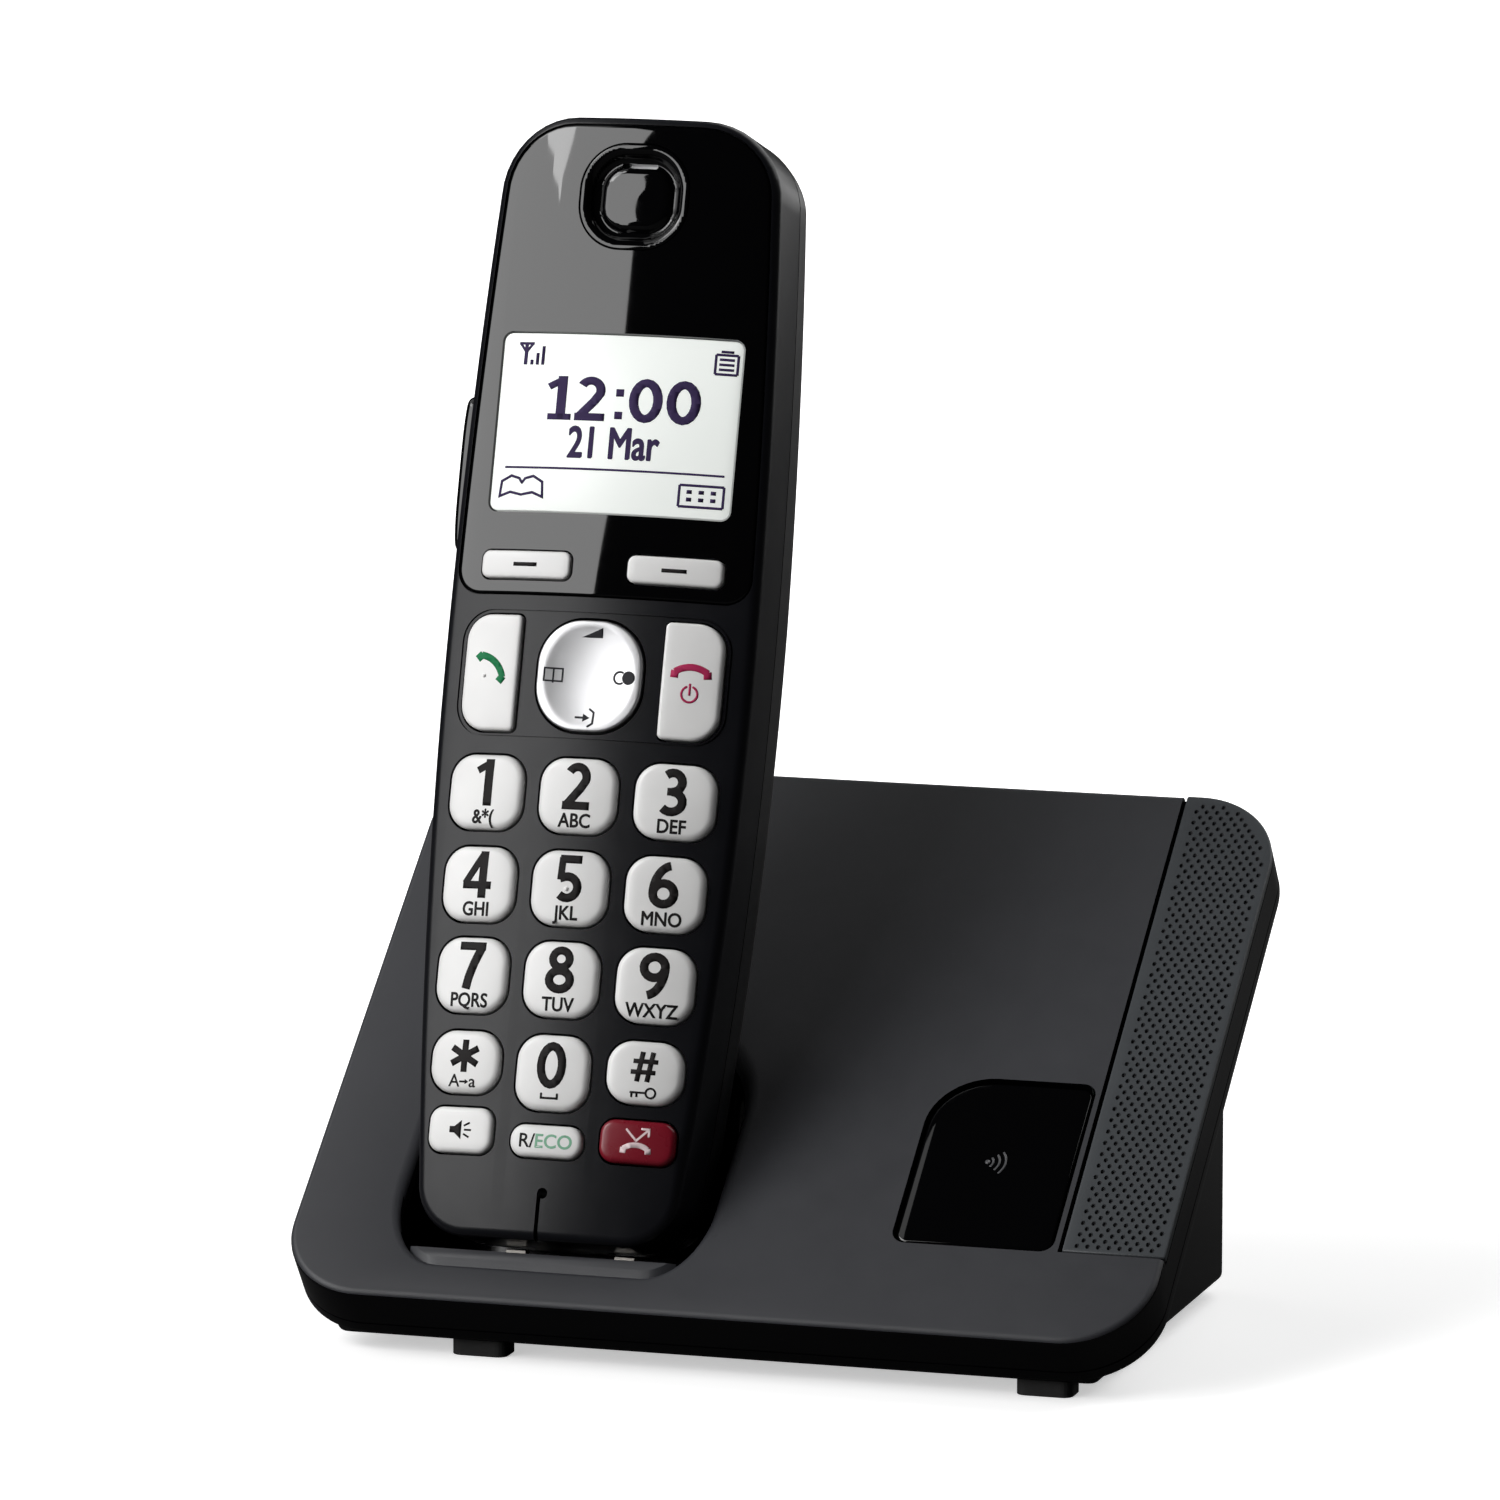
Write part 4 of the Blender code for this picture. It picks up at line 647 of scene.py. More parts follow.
STAMPED = moulded("stamped_metal", (0.5, 0.5, 0.51), 0.38, 0.06, 0.4, 2500, metallic=1.0, stretch=(1, 1, 12))
STEEL = moulded("zinc_steel", (0.42, 0.42, 0.43), 0.34, 0.08, 0.5, 2500, metallic=1.0)
BY_SLOT = {"base_satin": PANEL_SATIN, "base_gloss": GLOSS_SKIRT_AND_WELL_SHADE, "trim_grey": STRIP_SATIN,
           "gloss_black": GLOSS, "rear_satin": REAR_SATIN, "key_white": KEY_WHITE, "key_red": KEY_RED,
           "silver": SILVER, "screen": LCD_PALE, "rubber_foot": RUBBER, "key_rubber": SILICONE,
           "inner_plastic": DARK_PLASTIC, "circuit_board": BOARD, "battery": CELL, "contact_metal": NICKEL_WITH_PAINTED_SHADE,
           "module_metal": STAMPED, "steel": STEEL}


# Camera, light and stage

def camera_sees(tree, seen, other, output):
    """One shader for the camera's rays and another for all the rest."""
    mix = tree.nodes.new("ShaderNodeMixShader")
    tree.links.new(tree.nodes.new("ShaderNodeLightPath").outputs["Is Camera Ray"], mix.inputs["Fac"])
    tree.links.new(other, mix.inputs[1])
    tree.links.new(seen, mix.inputs[2])
    tree.links.new(mix.outputs["Shader"], output.inputs["Surface"])


def build_stage():
    target = Vector((-0.0065, 0, 0.0913))
    turn, tilt, distance = math.radians(17.14), math.radians(9.83), 1.5777
    back = Vector((math.sin(turn) * math.cos(tilt), -math.cos(turn) * math.cos(tilt), math.sin(tilt)))
    camera = bpy.data.objects.new("camera", bpy.data.cameras.new("camera"))
    camera.data.sensor_width = 36
    camera.data.lens = 240
    camera.location = target + back * distance
    camera.rotation_euler = (-back).to_track_quat("-Z", "Y").to_euler()
    bpy.context.scene.collection.objects.link(camera)
    bpy.context.scene.camera = camera
    bpy.context.scene.view_settings.view_transform = "Standard"

    material, tree, shader = material_nodes("pale_floor")
    shader.inputs["Roughness"].default_value = 0.9
    shader.inputs["Specular IOR Level"].default_value = 0.1
    tone = ranged(tree, noise(tree, 3), 0.93, 0.95)
    tree.links.new(tone, shader.inputs["Base Color"])
    shader.inputs["Emission Color"].default_value = (1, 1, 1, 1)
    reach = tree.nodes.new("ShaderNodeVectorMath")
    reach.operation = "LENGTH"
    tree.links.new(tree.nodes.new("ShaderNodeTexCoord").outputs["Object"], reach.inputs[0])
    lift = ranged(tree, reach.outputs["Value"], 0.5, 1.0, 0.12, 0.5)
    tree.links.new(lift, shader.inputs["Emission Strength"])
    dark = tree.nodes.new("ShaderNodeBsdfDiffuse")
    dark.inputs["Color"].default_value = (0.06, 0.06, 0.06, 1)
    camera_sees(tree, shader.outputs["BSDF"], dark.outputs["BSDF"], tree.nodes["Material Output"])
    work = bmesh.new()
    bmesh.ops.create_grid(work, x_segments=8, y_segments=8, size=6)
    floor = made(work, "floor", GROUND)
    floor.data.materials.append(material)

    world = bpy.data.worlds.new("studio")
    bpy.context.scene.world = world
    world.use_nodes = True
    tree = world.node_tree
    background = tree.nodes["Background"]
    background.inputs["Color"].default_value = (1, 1, 1, 1)
    background.inputs["Strength"].default_value = 0.01
    seen = tree.nodes.new("ShaderNodeBackground")
    seen.inputs["Color"].default_value = (1, 1, 1, 1)
    seen.inputs["Strength"].default_value = 1.0
    camera_sees(tree, seen.outputs["Background"], background.outputs["Background"],
                tree.nodes["World Output"])

    def softbox(name, centre, aim, width, height, radiance, spread=180):
        light = bpy.data.lights.new(name, "AREA")
        light.shape = "RECTANGLE"
        light.size, light.size_y = width, height
        light.energy = radiance * math.pi * width * height
        light.spread = math.radians(spread)
        holder = bpy.data.objects.new(name, light)
        holder.location = centre
        holder.visible_camera = False
        holder.rotation_euler = (Vector(aim) - Vector(centre)).to_track_quat("-Z", "Y").to_euler()
        bpy.context.scene.collection.objects.link(holder)

    middle = Vector((HANDSET_X, 0, 0.09))
    softbox("overhead_rear", (0.75, 1.35, 1.6), (0, 0.1, 0), 2.2, 1.6, 2.6)
    softbox("overhead_left", (-1.19, 0.1, 1.5), (-0.4, 0.1, 0), 1.5, 1.2, 0.9)
    softbox("upper_left", (-1.15, -0.75, 1.35), (0, 0, 0.1), 0.9, 0.6, 6.5)
    # Left softbox: its right edge is what splits the window's reflection
    edge, far, reach, lift = math.radians(-18.9), math.radians(-62), 1.6, math.radians(23.6)
    right = Vector((math.sin(edge), -math.cos(edge), 0)) * reach * math.cos(lift)
    left = Vector((math.sin(far), -math.cos(far), 0)) * reach * math.cos(lift)
    centre = middle + (right + left) / 2 + Vector((0, 0, reach * math.sin(lift)))
    normal = Vector((left.y - right.y, right.x - left.x, 0)).normalized()
    softbox("left_window", centre, centre + normal * math.copysign(1, normal.dot(middle - centre)),
            (left - right).length, 1.1, 4.6)
    softbox("rear_right", (0.75, 1.6, 0.42), (0, 0, 0.1), 1.2, 0.7, 1.5)


build_stage()


# Handset covers

def rear_depth(v, inset):
    """Depth of the rear face at a height: rounded foot, straight back, taper and crown."""
    if v < REAR_FOOT:
        drop = REAR_FOOT - v
        return DEPTH - REAR_FOOT + math.sqrt(max(0, (REAR_FOOT - inset) ** 2 - drop ** 2))
    crown = LENGTH - REAR_CROWN
    if v <= TAPER_START:
        return DEPTH - inset
    if v <= crown:
        share = (v - TAPER_START) / (crown - TAPER_START)
        return DEPTH - inset - (DEPTH - TOP_DEPTH) * share
    return TOP_DEPTH - REAR_CROWN + math.sqrt(max(0, (REAR_CROWN - inset) ** 2 - (v - crown) ** 2))


def rear_half(v, inset):
    """Half width of the handset's outline at a height, its rounded corners included."""
    for corner, centre, past in ((BOTTOM_CORNER, BOTTOM_CORNER, v < BOTTOM_CORNER),
                                 (TOP_CORNER, LENGTH - TOP_CORNER, v > LENGTH - TOP_CORNER)):
        if past:
            radius = corner - inset
            return bow(centre) - corner + math.sqrt(max(0, radius ** 2 - (v - centre) ** 2))
    return bow(v) - inset


def rear_form(name, inset, start):
    """The rear half of the handset from a flat front at this depth, lofted along its length."""
    crown = LENGTH - REAR_CROWN
    rise = min(REAR_CROWN - inset, max(0, start + 0.1 * MM - TOP_DEPTH + REAR_CROWN))
    last = crown + math.sqrt((REAR_CROWN - inset) ** 2 - rise ** 2)
    heights = [inset + (BOTTOM_CORNER - inset) * (1 - math.cos(math.radians(a))) for a in range(0, 90, 6)]
    heights += [BOTTOM_CORNER + (crown - BOTTOM_CORNER) * i / 60 for i in range(61)]
    heights += [crown + (last - crown) * math.sin(math.radians(a)) for a in range(6, 91, 6)]
    loops = []
    for v in [v for v in heights if rear_depth(v, inset) > start + 0.08 * MM]:
        half, depth = rear_half(v, inset), rear_depth(v, inset)
        corner = max(0.03 * MM, min(REAR_CORNER - inset, depth - start - 0.05 * MM, half - 0.5 * MM))
        section = [(half, start)] + arc((half - corner, depth - corner), corner, 0, 90, 12)
        section += arc((corner - half, depth - corner), corner, 90, 180, 12) + [(-half, start)]
        loops.append([(a, d, v) for a, d in section])
    return rings(name, LENGTHWISE, loops)


def key_outline(node, margin=0.0):
    """Outline of a key from its CAD box: call keys are rounded on their outer side only."""
    low, high = local_box(node, PHONE)
    lip = 0.0 if node == "nav_key" else 0.5 * MM
    low_v, high_v = low.z + lip, high.z - lip
    corner = {"nav_key": 7.2, "key_talk": 4.2, "key_off": 4.2, "key_speakerphone": 2.3, "key_recall": 2.3,
              "key_call_block": 2.3, "soft_key_left": 1.3, "soft_key_right": 1.3}.get(node, 4.0) * MM
    inner = 0.9 * MM + margin
    corner += margin
    radii = {"key_talk": (inner, inner, corner, corner), "key_off": (corner, corner, inner, inner)}
    return rounded(low.x - margin, high.x + margin, low_v - margin, high_v + margin,
                   radii.get(node, corner), 14 if node == "nav_key" else 10)


NUMBER_KEYS = ["key_" + name for name in "123456789"] + ["key_star", "key_0", "key_hash"]
FUNCTION_KEYS = ["key_speakerphone", "key_recall", "key_call_block"]
CALL_KEYS = ["key_talk", "key_off"]
SOFT_KEYS = ["soft_key_left", "soft_key_right"]
WINDOW_LOW = local_box("display_window", PHONE)[0].z
LENS_LOW, LENS_HIGH = local_box("display_lens", PHONE)
EAR_LOW, EAR_HIGH = local_box("earpiece_cap", PHONE)
NAV_LOW, NAV_HIGH = local_box("nav_key", PHONE)
WINDOW_THICKNESS = 1.4 * MM
ear_outline = centred((0, (EAR_LOW.z + EAR_HIGH.z) / 2), EAR_HIGH.x - EAR_LOW.x, EAR_HIGH.z - EAR_LOW.z,
                      7.4 * MM, 14)
lens_outline = rounded(LENS_LOW.x, LENS_HIGH.x, LENS_LOW.z, LENS_HIGH.z, 1.5 * MM)


def build_front_cover():
    cover = pillow("handset_front_shell", FACE, barrel(0, 0, BOTTOM_CORNER), front, SPLIT, COVER_EDGE,
                   (1.0 * MM, 0), 6)
    hollow = prism("hollow", FACE, barrel(COVER_WALL, COVER_WALL, BOTTOM_CORNER - COVER_WALL), ROOF,
                   2 * SPLIT)
    sunk = pillow("sunk_seat", FACE, barrel(WINDOW_INSET - 0.2 * MM, WINDOW_LOW - 0.2 * MM, 4.2 * MM),
                  lambda a, b: front(a) + WINDOW_THICKNESS + 0.1 * MM, CLEAR, 0.01 * MM, (1.0 * MM, 0), 1)
    cutters = [hollow, sunk]
    for nodes, margin in ((NUMBER_KEYS + FUNCTION_KEYS + CALL_KEYS, 0.35 * MM), (["nav_key"], 0.45 * MM),
                          (SOFT_KEYS, 0.3 * MM)):
        cutters += [prism(node, FACE, key_outline(node, margin), CLEAR, SPLIT) for node in nodes]
    cutters.append(prism("ear", FACE, grown(ear_outline, 0.2 * MM), CLEAR, SPLIT))
    cutters.append(prism("lens", FACE, grown(lens_outline, 0.8 * MM), CLEAR, SPLIT))
    mic = local_box("microphone", PHONE)
    centre = (mic[0].z + mic[1].z) / 2
    cutters.append(prism("mic_hole", FACE, arc((0, centre), 0.85 * MM, 0, 345, 23), CLEAR, ROOF + MM))
    cutters.append(slab("mic_slit", FACE, (-0.85 * MM, -2 * MM), (-0.2 * MM, centre), CLEAR, 1.9 * MM))
    side_low, side_high = local_box("side_key", PHONE)
    grow = 0.3 * MM
    cutters.append(prism("side_slot", LEFT_SIDE,
                         rounded(side_low.y - grow, side_high.y + grow, side_low.z + 0.5 * MM - grow,
                                 side_high.z - 0.5 * MM + grow, 2.2 * MM), -0.1, bow(0) * -1 + 8 * MM))
    boolean(cover, cutters)
    # A shallow line around the talk, four-way and off keys
    low = NAV_LOW.z - 1.35 * MM
    high = NAV_HIGH.z + 1.35 * MM
    outer_low, outer_high = local_box("key_talk", PHONE)[0].x, local_box("key_off", PHONE)[1].x
    around = rounded(outer_low - 1.1 * MM, outer_high + 1.1 * MM, low, high, 5.2 * MM, 12)
    line = prism("groove_outer", FACE, around, CLEAR, 9 * MM)
    core = prism("groove_core", FACE, grown(around, -0.28 * MM), -5 * MM, 10 * MM)
    boolean(line, [core])
    keep = pillow("groove_depth", FACE, grown(around, 2 * MM), lambda a, b: front(a) + 0.3 * MM, CLEAR,
                  0.01 * MM, (1.0 * MM, 0), 1)
    boolean(line, [keep], "INTERSECT")
    boolean(cover, [line])
    stands_for(cover, "handset_front_cover", FRONT_SATIN)


def build_window():
    window = pillow("window_panel", FACE, barrel(WINDOW_INSET, WINDOW_LOW, 4 * MM), front, 8 * MM, 0.45 * MM,
                    (0.6 * MM, 0), 4)
    back = pillow("window_back", FACE, barrel(0.5 * MM, WINDOW_LOW - MM, 4 * MM),
                  lambda a, b: front(a) + WINDOW_THICKNESS, 20 * MM, 0.01 * MM, (1.0 * MM, 0), 1)
    cutters = [back, prism("lens_hole", FACE, grown(lens_outline, 0.18 * MM), CLEAR, 9 * MM),
               prism("ear_hole", FACE, grown(ear_outline, 0.12 * MM), CLEAR, 9 * MM)]
    for node in SOFT_KEYS:
        cutters.append(prism(node, FACE, key_outline(node, 0.3 * MM), CLEAR, 9 * MM))
    boolean(window, cutters)
    stands_for(window, "display_window", GLOSS)


def build_earpiece():
    centre = Vector(((EAR_LOW.x + EAR_HIGH.x) / 2, (EAR_LOW.z + EAR_HIGH.z) / 2))
    half = Vector(((EAR_HIGH.x - EAR_LOW.x) / 2, (EAR_HIGH.z - EAR_LOW.z) / 2))
    corner = 7.4 * MM

    def inward(a, b):
        """Distance in from the cap's outline."""
        x, y = abs(a - centre.x) - (half.x - corner), abs(b - centre.y) - (half.y - corner)
        outside = math.hypot(max(x, 0), max(y, 0)) + min(max(x, y), 0)
        return corner - outside

    def moat(a, b):
        profile = ((0, 0), (0.9, 0.05), (1.5, 0.5), (2.2, 1.75), (2.9, 2.1), (3.4, 1.75), (3.9, 1.35),
                   (4.6, 1.2), (9, 1.05))
        s = inward(a, b) / MM
        for (s0, d0), (s1, d1) in zip(profile, profile[1:]):
            if s <= s1:
                t = max(0, (s - s0) / (s1 - s0))
                return front(a) + (d0 + (d1 - d0) * t * t * (3 - 2 * t)) * MM
        return front(a) + profile[-1][1] * MM

    cap = pillow("earpiece_moat", FACE, ear_outline, moat, EAR_HIGH.y, 0.3 * MM, (0.3 * MM, 0.3 * MM), 3)
    slot = 3 * MM
    top = EAR_HIGH.z - 3.3 * MM
    boolean(cap, [prism("sound_slot", FACE, centred((0, top), 2 * slot, 0.8 * MM, 0.35 * MM), -3 * MM,
                        9 * MM)], smooth=50)
    stands_for(cap, "earpiece_cap", GLOSS)


def build_display():
    def glass(a, b):
        return front(a) + 0.25 * MM

    lens = pillow("display_screen", FACE, grown(lens_outline, -0.1 * MM), glass, LENS_HIGH.y, 0.15 * MM,
                  (1.0 * MM, 0), 2)
    stands_for(lens, "display_lens", LCD_PALE)
    left, right, low, high = LENS_LOW.x, LENS_HIGH.x, LENS_LOW.z, LENS_HIGH.z
    width, height = right - left, high - low

    def at(across, up):
        return left + width * across, low + height * up

    dark = []
    # Aerial with signal bars
    a, b = at(0.075, 0.82)
    thin = 0.42 * MM
    dark.append(merged([bar(*spots((a, b), start, end), width) for start, end, width in
                        (((1.1, 0), (1.1, 3.4), thin * 1.5), ((-0.2, 3.4), (2.4, 3.4), thin),
                         ((0, 3.4), (1.1, 2.0), thin), ((2.2, 3.4), (1.1, 2.0), thin))]))
    for i in range(3):
        dark.append(bar((a + (2.2 + i * 0.95) * MM, b), (a + (2.2 + i * 0.95) * MM, b + (0.8 + i * 1.1) * MM),
                        thin * 1.3))
    # Battery gauge
    a, b = at(0.935, 0.81)
    wide, tall = 1.75 * MM, 3.1 * MM
    cap = bar((a - MM, b + tall + 0.5 * MM), (a + MM, b + tall + 0.5 * MM), thin)
    dark.append(merged(box_lines(a, b, wide, tall, thin) + [cap]))
    for i in range(3):
        up = b + (0.75 + i * 0.8) * MM
        dark.append(bar((a - wide * 0.68, up), (a + wide * 0.68, up), thin))
    a, b = at(0.52, 0.515)
    for name, across in (("1", -10.4), ("2", -4.9), ("0", 4.2), ("0", 10.3)):
        points, faces = digit(name, 7.0 * MM)
        dark.append(moved(([(x * 1.2, y) for x, y in points], faces), a + across * MM, b))
    dark.append(bar((a - 12.0 * MM, b + 0.5 * MM), (a - 8.0 * MM, b + 0.5 * MM), MM))
    for up in (1.0, 4.6):
        dark.append(bar((a - 0.75 * MM, b + up * MM), (a + 0.55 * MM, b + up * MM), 1.2 * MM))
    dark.append(moved(lettering("21 Mar", 4.8 * MM, 0.16 * MM, 0.74), *at(0.505, 0.31)))
    dark.append(bar(at(0.055, 0.245), at(0.965, 0.245), 0.35 * MM))
    # Open book and keypad at the foot
    a, b = at(0.135, 0.075)
    for side in (-1, 1):
        dark.append(stroke(spots((a, b), (0, 0.5), (side * 1.9, 0.9), (side * 3.7, 0.2), (side * 3.5, 2.6),
                                 (side * 1.9, 3.5), (side * 0.5, 3.1), (0, 2.4)), thin))
    a, b = at(0.88, 0.065)
    wide, tall = 3.5 * MM, 3.4 * MM
    dark.append(merged(box_lines(a, b, wide, tall, thin)))
    for i in range(3):
        for j in range(2):
            x, y = a + (i - 1) * 1.9 * MM, b + (1.15 + j * 1.2) * MM
            dark.append(bar((x - 0.42 * MM, y), (x + 0.42 * MM, y), 0.62 * MM))
    printed("display_segments", FACE, "display_lens", glass, dark, LCD_DARK)


# Keys

def key_cap(node, rise, crown, edge, steps, cell=(0.9 * MM, 0.9 * MM), material=None):
    """A key whose face follows the cover, stands proud and falls off towards its edges."""
    outline = key_outline(node)
    across, along = zip(*outline)
    centre = ((min(across) + max(across)) / 2, (min(along) + max(along)) / 2)
    half = ((max(across) - min(across)) / 2, (max(along) - min(along)) / 2)

    def surface(a, b):
        x, y = (a - centre[0]) / half[0], (b - centre[1]) / half[1]
        return front(a) - rise + crown * (x * x + y * y)

    cap = pillow(node + "_cap", FACE, outline, surface, local_box(node, PHONE)[1].y, edge, cell, steps)
    stands_for(cap, node, material or KEY_WHITE)
    return surface, centre, half[1]


LETTERS = {"1": "&*(", "2": "ABC", "3": "DEF", "4": "GHI", "5": "JKL", "6": "MNO", "7": "PQRS", "8": "TUV",
           "9": "WXYZ"}


def build_nub(name, node, centre, radius, surface):
    """A small domed bump that finds a key by touch."""
    def dome(a, b):
        share = ((a - centre[0]) ** 2 + (b - centre[1]) ** 2) / radius ** 2
        return surface(a, b) - 0.3 * MM * (1 - share)

    nub = pillow(name, FACE, arc(centre, radius, 0, 345, 23), dome, surface(*centre) + 0.3 * MM, 0.1 * MM,
                 (0.15 * MM, 0.15 * MM), 3)
    finish(nub, BODY[node], KEY_WHITE, "key_white")


def build_number_keys():
    for node in NUMBER_KEYS:
        label = node[4:]
        surface, (a, b), half = key_cap(node, 1.2 * MM, 0.28 * MM, 1.05 * MM, 6)
        top = b + half
        shapes = []
        if label in LETTERS:
            shapes.append(moved(digit(label, 7.4 * MM), a, top - 8.2 * MM))
            shapes.append(moved(lettering(LETTERS[label], 2.1 * MM, 0.07 * MM, 0.88), a, top - 10.95 * MM))
        elif label == "0":
            shapes.append(moved(digit("0", 7.3 * MM), a, top - 8.45 * MM))
            shapes.append(stroke(spots((a, top), (-1.3, -9.3), (-1.3, -9.95), (1.3, -9.95), (1.3, -9.3)),
                                 0.36 * MM))
        elif label == "star":
            shapes.append(moved(digit("star", 5.1 * MM), a, top - 6.6 * MM))
            for letter, across in (("A", -1.5), ("a", 1.6)):
                shapes.append(moved(lettering(letter, 1.9 * MM, 0.03 * MM), a + across * MM, top - 8.9 * MM))
            shapes.append(bar(*spots((a, top), (-0.6, -8.1), (0.4, -8.1)), 0.3 * MM))
            shapes.append(polygon(spots((a, top), (0.35, -8.5), (0.95, -8.1), (0.35, -7.7))))
        else:
            shapes.append(moved(digit("hash", 4.7 * MM), a, top - 6.4 * MM))
            y = top - 8.1 * MM
            hoop = arc((a + 1.35 * MM, y), 0.75 * MM, 0, 345, 23)
            shapes.append(stroke(hoop + [hoop[0]], 0.32 * MM))
            shapes.append(merged([bar(*spots((a, y), start, end), 0.34 * MM) for start, end in
                                  (((-1.9, 0), (0.6, 0)), ((-1.6, 0), (-1.6, -0.8)),
                                   ((-0.8, 0), (-0.8, -0.7)))]))
        printed(node + "_legend", FACE, node, surface, shapes, DIGIT_INK)
        if label == "5":
            build_nub("key_5_nub", node, (a - 0.2 * MM, b - 0.2 * MM), 0.42 * MM, surface)


def handset_icon(centre, length, turn=0.0, thick=0.75 * MM):
    """A receiver seen from the side: a bowed grip with an ear and a mouth end."""
    reach = length / 2
    grip = arc((0, -reach * 1.25), reach * 1.6, 55, 125, 10)
    ends = [bar((side * reach * 0.9, reach * 0.14), (side * reach * 0.94, -reach * 0.28), thick * 1.25)
            for side in (-1, 1)]
    return moved(merged(band(grip, thick * 1.1) + ends), *centre, turn)


def build_function_keys():
    for node in FUNCTION_KEYS:
        surface, (a, b), _ = key_cap(node, 1.1 * MM, 0.16 * MM, 0.8 * MM, 5,
                                     material=KEY_RED if node == "key_call_block" else KEY_WHITE)
        if node == "key_speakerphone":
            horn = [polygon(spots((a, b), (-1.7, -0.5), (-0.9, -0.5), (0.3, -1.5), (0.3, 1.5), (-0.9, 0.5),
                                  (-1.7, 0.5)))]
            for turn in (-35, 0, 35):
                x, y = math.cos(math.radians(turn)), math.sin(math.radians(turn))
                horn.append(bar((a + 0.3 * MM + 0.5 * MM * x, b + 1.1 * MM * y),
                                (a + 0.3 * MM + 1.7 * MM * x, b + 2.0 * MM * y), 0.3 * MM))
            printed(node + "_legend", FACE, node, surface, horn, DIGIT_INK)
        elif node == "key_recall":
            recall = lettering("R/", 2.1 * MM, 0.04 * MM)
            eco = lettering("ECO", 2.1 * MM, 0.05 * MM)
            printed(node + "_legend", FACE, node, surface, [moved(recall, a - 3.05 * MM, b - 1.05 * MM)],
                    DIGIT_INK)
            printed(node + "_legend_green", FACE, node, surface, [moved(eco, a + 1.35 * MM, b - 1.05 * MM)],
                    PALE_GREEN_INK)
        else:
            zigzag = stroke(spots((a, b), (-1.6, 1.9), (0, 0.2), (1.9, 2.1)), 0.34 * MM)
            head = stroke(spots((a, b), (0.8, 2.1), (1.9, 2.1), (1.9, 1.0)), 0.34 * MM)
            printed(node + "_legend", FACE, node, surface,
                    [merged([zigzag, head]), handset_icon((a, b - 1.2 * MM), 4.2 * MM)], PINK_INK)


def build_call_keys():
    for node in CALL_KEYS:
        surface, (a, b), _ = key_cap(node, 1.15 * MM, 0.12 * MM, 0.6 * MM, 5, (0.9 * MM, 1.2 * MM))
        if node == "key_talk":
            printed(node + "_legend", FACE, node, surface,
                    [handset_icon((a + 0.1 * MM, b + 0.8 * MM), 5.6 * MM, math.radians(-42), 1.0 * MM)],
                    GREEN_INK)
            build_nub("key_talk_nub", node, (a - 1.0 * MM, b - 0.6 * MM), 0.36 * MM, surface)
        else:
            hoop = arc((a, b - 2.0 * MM), 1.25 * MM, 115, 425, 22)
            printed(node + "_legend", FACE, node, surface,
                    [handset_icon((a, b + 1.3 * MM), 5.6 * MM, 0, 1.0 * MM), stroke(hoop, 0.36 * MM),
                     bar((a, b - 2.2 * MM), (a, b - 0.3 * MM), 0.36 * MM)], RED_INK)
    for node in SOFT_KEYS:
        surface, (a, b), _ = key_cap(node, 0.85 * MM, 0.08 * MM, 0.5 * MM, 4)
        printed(node + "_legend", FACE, node, surface, [bar((a - 2.0 * MM, b), (a + 2.0 * MM, b), 0.62 * MM)],
                DIGIT_INK)


def build_navigation():
    outline = key_outline("nav_key")
    centre = (0, (NAV_LOW.z + NAV_HIGH.z) / 2)
    half = ((NAV_HIGH.x - NAV_LOW.x) / 2, (NAV_HIGH.z - NAV_LOW.z) / 2)
    corner = 7.2 * MM
    dish_radius, dish_depth, rise = 37 * MM, 0.95 * MM, 0.7 * MM

    def surface(a, b):
        x, y = abs(a) - (half[0] - corner), abs(b - centre[1]) - (half[1] - corner)
        inward = corner - math.hypot(max(x, 0), max(y, 0)) - min(max(x, y), 0)
        reach = math.hypot(a, b - centre[1])
        dish = front(a) * 0.3 - rise + dish_depth - reach ** 2 / (2 * dish_radius)
        rim = front(a) - rise
        share = min(1, max(0, (inward - 0.35 * MM) / (1.1 * MM)))
        share = share * share * (3 - 2 * share)
        return rim + (max(dish, rim) - rim) * share

    key = pillow("nav_key_dish", FACE, outline, surface, NAV_HIGH.y, 0.35 * MM, (0.4 * MM, 0.4 * MM), 4)
    stands_for(key, "nav_key", SILVER)
    a, b = centre
    wedge = polygon(spots(centre, (-1.75, 6.1), (1.75, 6.1), (1.75, 7.7)))
    book = []
    for side in (-1, 1):
        x = a - 5.9 * MM
        book.append(stroke(spots((x, b), (0, -1), (side * 1.45, -1), (side * 1.45, 1), (0, 1)), 0.28 * MM))
    book.append(bar((a - 5.9 * MM, b - 1.3 * MM), (a - 5.9 * MM, b + 1.0 * MM), 0.28 * MM))
    disc = polygon(arc((a + 6.5 * MM, b), 1.1 * MM, 0, 345, 23))
    hoop = arc((a + 5.0 * MM, b), 0.95 * MM, 60, 300, 16)
    y = b - 6.6 * MM
    arrow = merged([bar(*spots((a, y), (-1.7, 0), (0.1, 0)), 0.34 * MM),
                    polygon(spots((a, y), (-0.4, -0.65), (0.75, 0), (-0.4, 0.65)))])
    door = stroke(spots((a, y), (0.6, 1.4), (1.3, 0.9), (1.3, -0.9), (0.6, -1.4)), 0.34 * MM)
    printed("nav_key_legend", FACE, "nav_key", surface, [wedge, merged(book), disc, stroke(hoop, 0.34 * MM),
                                                        arrow, door], ICON_INK, cell=0.35 * MM)


